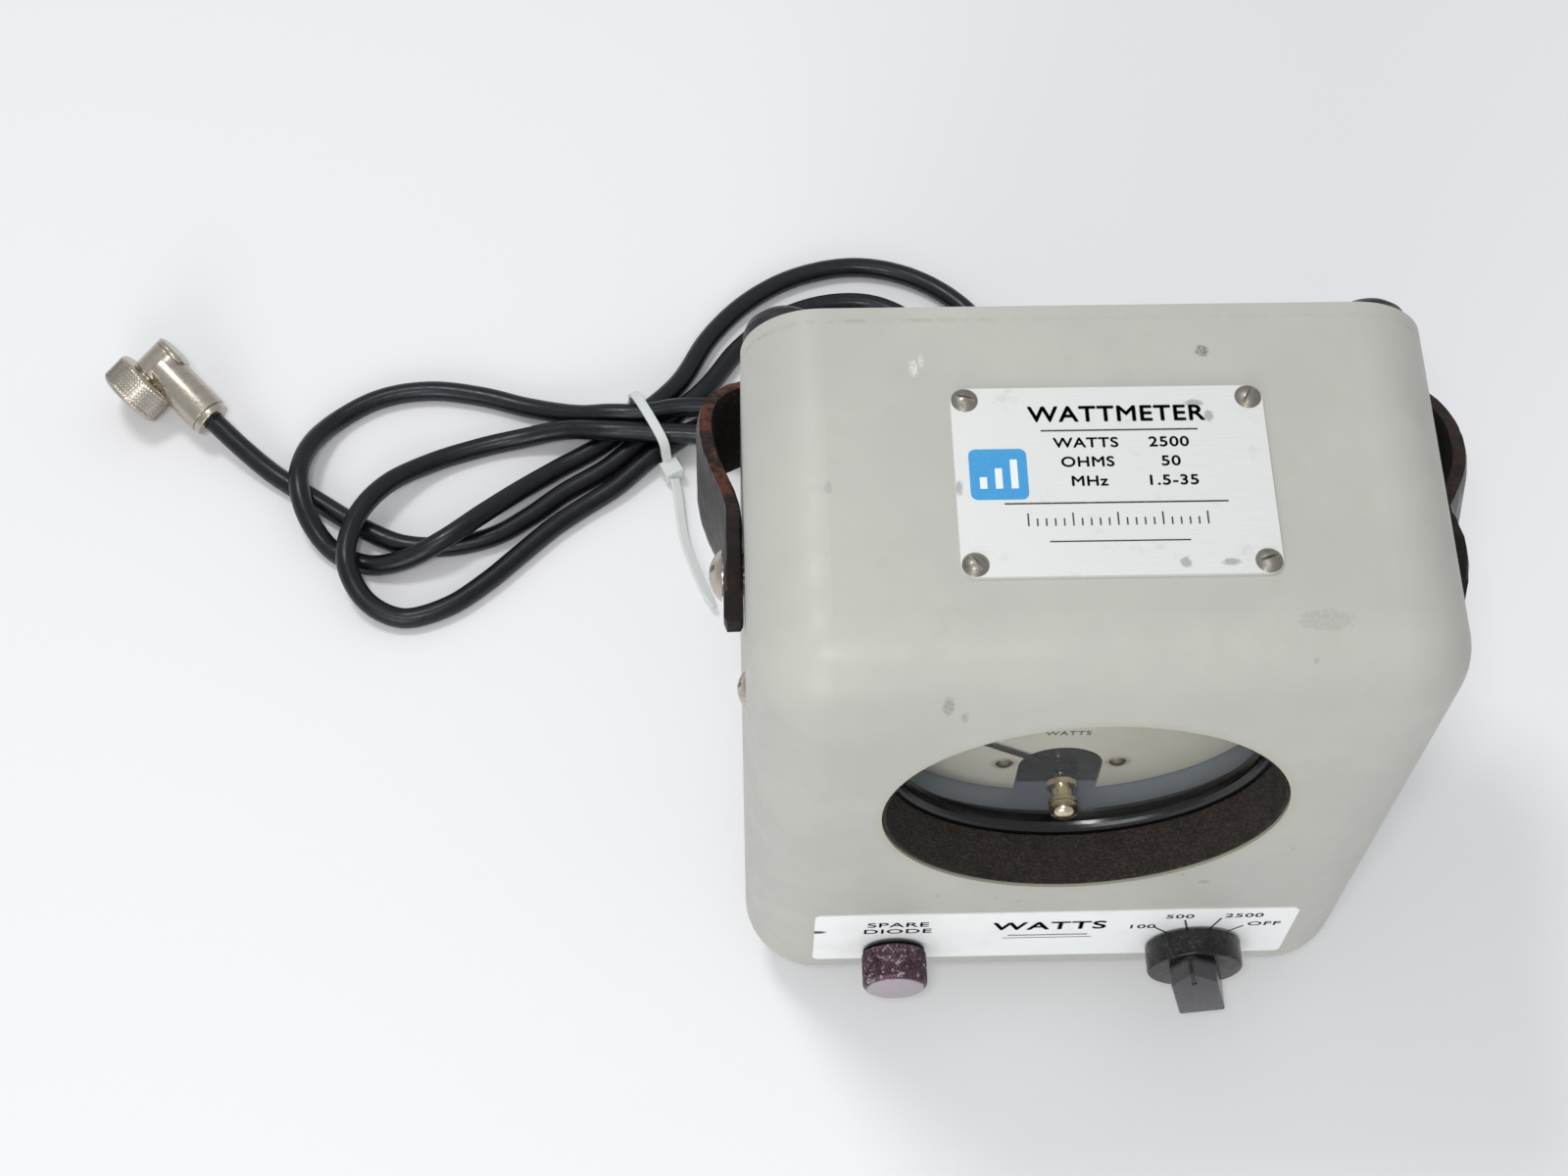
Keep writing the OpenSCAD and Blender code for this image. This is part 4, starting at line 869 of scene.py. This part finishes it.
def make_knob():
    place = axis_place(*KNOB_AXIS, KNOB_POINT)
    mesh = bmesh.new()
    skirt = [(0, -6.6), (KNOB_R, -6.6), (KNOB_R, -0.8), (8.2, -0.8), (8.0, -1.0), (8.0, -3.6), (0, -3.6)]
    lathe(mesh, round_profile(skirt, {1: 0.7, 2: 0.35}), place, 120)
    outline = [(-9.4, -4.9), (5.5, -4.9), (9.5, -1.0), (9.75, 0), (9.5, 1.0), (5.5, 4.9), (-9.4, 4.9)]
    low = [mesh.verts.new(place @ (Vector((x, -5.6, z)) * MM)) for x, z in outline]
    high = [mesh.verts.new(place @ (Vector((x, -13 + (x + 9.8) / 19.8 * 1.9, z)) * MM)) for x, z in outline]
    count = len(outline)
    sides = [mesh.faces.new((low[k], low[(k + 1) % count], high[(k + 1) % count], high[k]))
             for k in range(count)]
    mesh.faces.new(low)
    top = [mesh.faces.new(high)] + sides
    edges = list(dict.fromkeys(edge for face in top for edge in face.edges if set(edge.verts) & set(high)))
    bmesh.ops.bevel(mesh, geom=edges, offset=0.4 * MM, segments=4, profile=0.5, affect="EDGES")
    return piece("pointer_knob", mesh, "selector", KNOB_BLACK, ["range_knob"], 35)


def make_knob_index():
    """A moulded black index line down the nose of the grip, ending in a small dot."""
    place = axis_place(*KNOB_AXIS, KNOB_POINT)
    mesh = bmesh.new()
    nose = [(6.0, -11.62), (8.9, -11.36), (9.86, -10.9), (9.9, -8.5), (9.9, -6.9)]
    path = smooth_line([(x, y, 0) for x, y in nose], 5)
    corners = ((0.12, 0.3), (0.12, -0.3), (-0.3, -0.3), (-0.3, 0.3))
    skin(mesh, [[mesh.verts.new(place @ (Vector((p.x + dx, p.y - dx * 0.4, dz)) * MM))
                 for dx, dz in corners] for p in path])
    lathe(mesh, [(0, -11.95), (0.42, -11.93), (0.55, -11.8), (0.55, -11.4), (0, -11.4)],
          place @ Matrix.Translation(Vector((5.6, 0.1, 0)) * MM), 24)
    return piece("knob_index", mesh, "selector", INDEX_INK)


def make_cap():
    r, front, back, bore = 6.9, -9.6, -1.4, 5.08
    side = [(r, front + 1.1 + (back - front - 1.7) * k / 26) for k in range(27)]
    profile = ([(0, front), (r - 1.3, front), (r - 0.85, front + 0.12), (r - 0.35, front + 0.6)] + side
               + [(r - 0.35, back - 0.2), (r - 0.7, back), (5.2, back), (bore, back - 0.2), (bore, -6.4),
                  (3.9, -6.45), (3.9, -7.7), (0, -7.7)])
    grip = knurl(48, 2.9, 0.32, front + 1.1, back - 0.6)
    return turned("diode_cap_knurled", profile, axis_place(*CAP_AXIS), 288, "cap", CAP, "diode_cap",
                  60, lambda radius, along, angle: grip(radius, along, angle) if radius > r - 0.1 else radius)


make_knob()
make_knob_index()
make_cap()

# ---- shock ring -------------------------------------------------------------------------


def make_shock_ring():
    bore = [(METER_BORE, 0.55 + 10.5 * k / 22) for k in range(23)]
    profile = bore + [(38.0, 11.15), (45.9, 11.15), (45.9, 7.4), (43.9, 5.4), (40.9, 3.5), (38.9, 2.9),
                      (38.55, 2.7), (38.55, 0.6), (38.2, 0.45), (METER_BORE, 0.55)]

    def rough(radius, along, angle):
        if radius > METER_BORE + 0.1:
            return radius
        point = Vector((math.cos(angle) * 60, math.sin(angle) * 60, along * 2.2))
        return radius + 0.16 * noise.noise(point) + 0.1 * noise.noise(point * 2.7)

    return turned("felt_ring", profile, axis_place(*METER_AXIS), 360, "case", FELT, "shock_ring", 60,
                  rough)


make_shock_ring()

# ---- zero adjuster ----------------------------------------------------------------------


def carved(target, cutter):
    """The mesh less the cutter."""
    objects = []
    for name, mesh in (("carved", target), ("cutter", cutter)):
        data = bpy.data.meshes.new(name)
        bmesh.ops.recalc_face_normals(mesh, faces=mesh.faces)
        mesh.to_mesh(data)
        mesh.free()
        objects.append(bpy.data.objects.new(name, data))
        SCENE.collection.objects.link(objects[-1])
    modifier = objects[0].modifiers.new("cut", "BOOLEAN")
    modifier.object = objects[1]
    modifier.operation = "DIFFERENCE"
    modifier.solver = "EXACT"
    bpy.context.view_layer.update()
    made = bpy.data.meshes.new_from_object(objects[0].evaluated_get(bpy.context.evaluated_depsgraph_get()))
    for item in objects:
        bpy.data.objects.remove(item)
    made.materials.clear()
    return made


def make_adjuster():
    place = axis_place(*ADJUSTER_AXIS)
    mesh = bmesh.new()
    tip = [(0, 10.62), (0.8, 10.66), (1.4, 10.78), (2.0, 11.05), (2.4, 11.36), (2.75, 11.9), (2.88, 12.45)]
    grooves = [(2.62, 12.6), (2.62, 12.85), (2.9, 13.0), (2.9, 13.4), (2.66, 13.5), (2.66, 13.75),
               (2.95, 13.9), (2.98, 14.55), (2.0, 14.6), (2.0, 17.3), (3.05, 17.3), (3.15, 18.4),
               (2.65, 19.2), (1.25, 19.4), (1.25, 20.35), (0, 20.35)]
    lathe(mesh, tip + grooves, place, 72)
    slot = bmesh.new()
    bmesh.ops.create_cube(slot, size=1, matrix=place @ Matrix.Translation(Vector((0, 10.45, 0)) * MM)
                          @ Matrix.Diagonal((9 * MM, 2.1 * MM, 0.8 * MM, 1)))
    return piece("adjuster_turned", carved(mesh, slot), "corrector", ADJUSTER, ["zero_adjuster"], 30)


make_adjuster()

# ---- printing ---------------------------------------------------------------------------


def lettering(name, text, size, place, material, wide=1.0, bold=0.0, thick=0.06):
    """Printed text centred on the placed plane. Bold overlays copies shifted by that much."""
    curve = bpy.data.curves.new(name, "FONT")
    curve.body = text
    curve.size = size * MM
    curve.align_x = "CENTER"
    curve.align_y = "CENTER"
    curve.extrude = thick * MM / 2
    curve.space_character = 1.08
    source = bpy.data.objects.new(name + "_text", curve)
    SCENE.collection.objects.link(source)
    bpy.context.view_layer.update()
    mesh = bpy.data.meshes.new_from_object(source.evaluated_get(bpy.context.evaluated_depsgraph_get()))
    mesh.name = name
    mesh.materials.clear()
    bpy.data.objects.remove(source)
    mesh.transform(Matrix.Diagonal((wide, 1, 1, 1)))
    letters = bmesh.new()
    for x, y in ((bold, 0), (-bold, 0), (0, bold), (0, -bold)) if bold else ((0, 0),):
        first = len(letters.verts)
        letters.from_mesh(mesh)
        letters.verts.ensure_lookup_table()
        bmesh.ops.translate(letters, verts=letters.verts[first:], vec=(x * MM, y * MM, 0))
    bmesh.ops.transform(letters, verts=letters.verts, matrix=place)
    letters.to_mesh(mesh)
    letters.free()
    return piece(name, mesh, "case", material, smooth=0)


def on_top(x, y):
    return Matrix.Translation(at(x + PLATE_SHIFT[0], y + PLATE_SHIFT[1], PLATE_TOP + PRINT_LIFT))


def on_strip(x, z):
    return Matrix.Translation(at(x, STRIP_PRINT_Y, z)) @ Matrix.Rotation(math.radians(90), 4, "X")


def on_dial(x, z, turn=0.0):
    return (Matrix.Translation(at(x, DIAL_PRINT_Y, z)) @ Matrix.Rotation(math.radians(90), 4, "X")
            @ Matrix.Rotation(turn, 4, "Z"))


def flat_bar(target, a, b, width, place, thick=0.06):
    """A thin printed bar from a to b, [x, y] in millimetres on the placed plane."""
    a, b = Vector((*a, 0)), Vector((*b, 0))
    side = Vector((a.y - b.y, b.x - a.x, 0)).normalized() * width / 2
    lift = Vector((0, 0, thick / 2))
    low = [target.verts.new(place @ ((p - lift) * MM)) for p in (a - side, a + side, b + side, b - side)]
    high = [target.verts.new(place @ ((p + lift) * MM)) for p in (a - side, a + side, b + side, b - side)]
    for k in range(4):
        target.faces.new((low[k], low[(k + 1) % 4], high[(k + 1) % 4], high[k]))
    target.faces.new(low)
    target.faces.new(high)


def polar(centre, radius, degrees):
    """The point at a radius and an angle round the centre."""
    angle = math.radians(degrees)
    return centre[0] + radius * math.cos(angle), centre[1] + radius * math.sin(angle)


def arc_bars(target, centre, radius, first, last, width, place, steps=48):
    points = [polar(centre, radius, first + (last - first) * k / steps) for k in range(steps + 1)]
    for a, b in zip(points, points[1:]):
        flat_bar(target, a, b, width, place)


def rounded_tile(target, half, corner, place, low=-0.05, high=0.1, steps=6):
    """A thin square with rounded corners, on the placed plane."""
    inner = half - corner
    corners = enumerate(((1, 1), (-1, 1), (-1, -1), (1, -1)))
    outline = [polar((sx * inner, sy * inner), corner, 90 * quarter + 90 * k / steps)
               for quarter, (sx, sy) in corners for k in range(steps + 1)]
    under, over = ([target.verts.new(place @ (Vector((x, y, z)) * MM)) for x, y in outline]
                   for z in (low, high))
    for k in range(len(outline)):
        j = (k + 1) % len(outline)
        target.faces.new((under[k], under[j], over[j], over[k]))
    target.faces.new(under[::-1])
    target.faces.new(over)


def make_plate_print():
    lettering("plate_title", "WATTMETER", 4.6, on_top(1.5, 55.2), PLATE_INK, wide=1.12, bold=0.12)
    for label, value, y in (("WATTS", "2500", 49.2), ("OHMS", "50", 45.2), ("MHz", "1.5-35", 41.2)):
        lettering("plate_" + label.lower(), label, 2.9, on_top(-4.5, y), PLATE_INK, wide=1.15, bold=0.07)
        lettering("plate_value_" + label.lower(), value, 2.9, on_top(10.5, y), PLATE_INK, wide=1.2, bold=0.07)
    mesh = bmesh.new()
    flat = on_top(0, 0)
    for left, right, y, width in ((-12.5, 16, 51.9, 0.3), (-20, 20, 36.8, 0.3), (-12.5, 12.5, 29.0, 0.25)):
        flat_bar(mesh, (left, y), (right, y), width, flat)
    for k in range(21):
        x, foot = -16 + k * 1.6, 32.2
        flat_bar(mesh, (x, foot), (x, foot + (2.6 if k % 5 == 0 else 1.5)), 0.28, flat)
    piece("plate_rules", mesh, "case", PLATE_INK, smooth=0)
    tile = bmesh.new()
    middle = on_top(-20.7, 42.9)
    rounded_tile(tile, 5.2, 1.3, middle)
    piece("plate_tile", tile, "case", TILE_BLUE, smooth=30)
    bars = bmesh.new()
    raised = middle @ Matrix.Translation(Vector((0, 0, 0.08)) * MM)
    for x, height in ((-2.8, 2.4), (0, 4.2), (2.8, 6.0)):
        flat_bar(bars, (x, -3.0), (x, -3.0 + height), 1.3, raised)
    piece("plate_tile_bars", bars, "case", TILE_WHITE, smooth=0)


def make_strip_print():
    for text, x, z, size in (
        ("100", 18.6, 33.4, 3.0), ("500", 26.0, 38.9, 3.0), ("2500", 39.6, 38.9, 3.0), ("OFF", 44.6, 33.9, 3.0),
        ("SPARE", -33.2, 37.0, 3.5), ("DIODE", -33.2, 33.2, 3.5),
    ):
        lettering("strip_" + text.lower(), text, size, on_strip(x, z), STRIP_INK, wide=1.3, bold=0.05)
    lettering("strip_watts", "WATTS", 6.2, on_strip(-1.0, 34.8), STRIP_INK, wide=1.1, bold=0.18)
    ticks = bmesh.new()
    flat = on_strip(0, 0)
    for a, b in (((21.4, 33.0), (24.7, 29.2)), ((27.4, 36.8), (28.7, 31.2)), ((35.0, 37.6), (33.3, 30.7)),
                 ((40.4, 33.0), (37.7, 29.8))):
        flat_bar(ticks, a, b, 0.42, flat)
    piece("strip_ticks", ticks, "case", TICK_INK, smooth=0)
    rule = bmesh.new()
    flat_bar(rule, (-9.5, 29.6), (7.5, 29.6), 0.5, flat)
    flat_bar(rule, (-10.5, 28.0), (8.5, 28.0), 0.3, flat)
    piece("strip_rules", rule, "case", STRIP_INK, smooth=0)


def make_dial_print():
    flat = on_dial(0, 0)
    marks = bmesh.new()
    for radius, _ in DIAL_SCALES:
        arc_bars(marks, METER_PIVOT, radius, DIAL_START, DIAL_START - DIAL_SWEEP, 0.3, flat)
        for k in range(51):
            degrees = DIAL_START - DIAL_SWEEP * k / 50
            reach = 2.2 if k % 10 == 0 else 1.5 if k % 5 == 0 else 0.9
            foot, tip = polar(METER_PIVOT, radius, degrees), polar(METER_PIVOT, radius + reach, degrees)
            flat_bar(marks, foot, tip, 0.28 if k % 10 == 0 else 0.16, flat)
    piece("dial_marks", marks, "case", DIAL_INK, smooth=0)
    for radius, full in DIAL_SCALES:
        for k in range(6):
            degrees = DIAL_START - DIAL_SWEEP * k / 5
            place = on_dial(*polar(METER_PIVOT, radius - 1.5, degrees), math.radians(degrees - 90))
            lettering(f"dial_{full}_{k}", str(full * k // 5), 2.0, place, DIAL_INK)
    lettering("dial_watts", "WATTS", 2.6, on_dial(METER_PIVOT[0], 83.5), DIAL_INK)


make_plate_print()
make_strip_print()
make_dial_print()

# ---- stage ------------------------------------------------------------------------------


def make_stage():
    mesh = bpy.data.meshes.new("floor")
    corners = [(x, y, 0) for x, y in ((-1, -1), (1, -1), (1, 1), (-1, 1))]
    mesh.from_pydata([Vector(corner) * FLOOR_REACH for corner in corners], [], [(0, 1, 2, 3)])
    floor = bpy.data.objects.new("floor", mesh)
    SCENE.collection.objects.link(floor)
    mesh.materials.append(Look("floor_white", rgb(240, 240, 242), 0.6, Specular_IOR_Level=0.2).done())


def area_light(name, place, target, size, power, color=(1, 1, 1)):
    data = bpy.data.lights.new(name, "AREA")
    data.shape = "DISK"
    data.size = size
    data.energy = power
    data.color = color
    light = bpy.data.objects.new(name, data)
    SCENE.collection.objects.link(light)
    light.location = place
    light.rotation_euler = (Vector(target) - Vector(place)).to_track_quat("-Z", "Y").to_euler()


def make_lights():
    world = bpy.data.worlds.new("studio")
    world.use_nodes = True
    sky = world.node_tree.nodes["Background"].inputs
    sky["Color"].default_value = (0.96, 0.98, 1.0, 1)
    sky["Strength"].default_value = 0.56
    SCENE.world = world
    area_light("key", (-0.4, 0.4, 1.2), (0, 0, 0.05), 0.3, 4.2)
    area_light("flash", (-0.12, -0.28, 0.72), (-0.05, 0.02, 0.05), 0.09, 1.1, (1, 0.99, 0.97))
    area_light("front", (-0.35, -1.0, 0.55), (0, 0, 0.07), 0.6, 3.5)
    SCENE.view_settings.view_transform = "Standard"


make_stage()
make_lights()
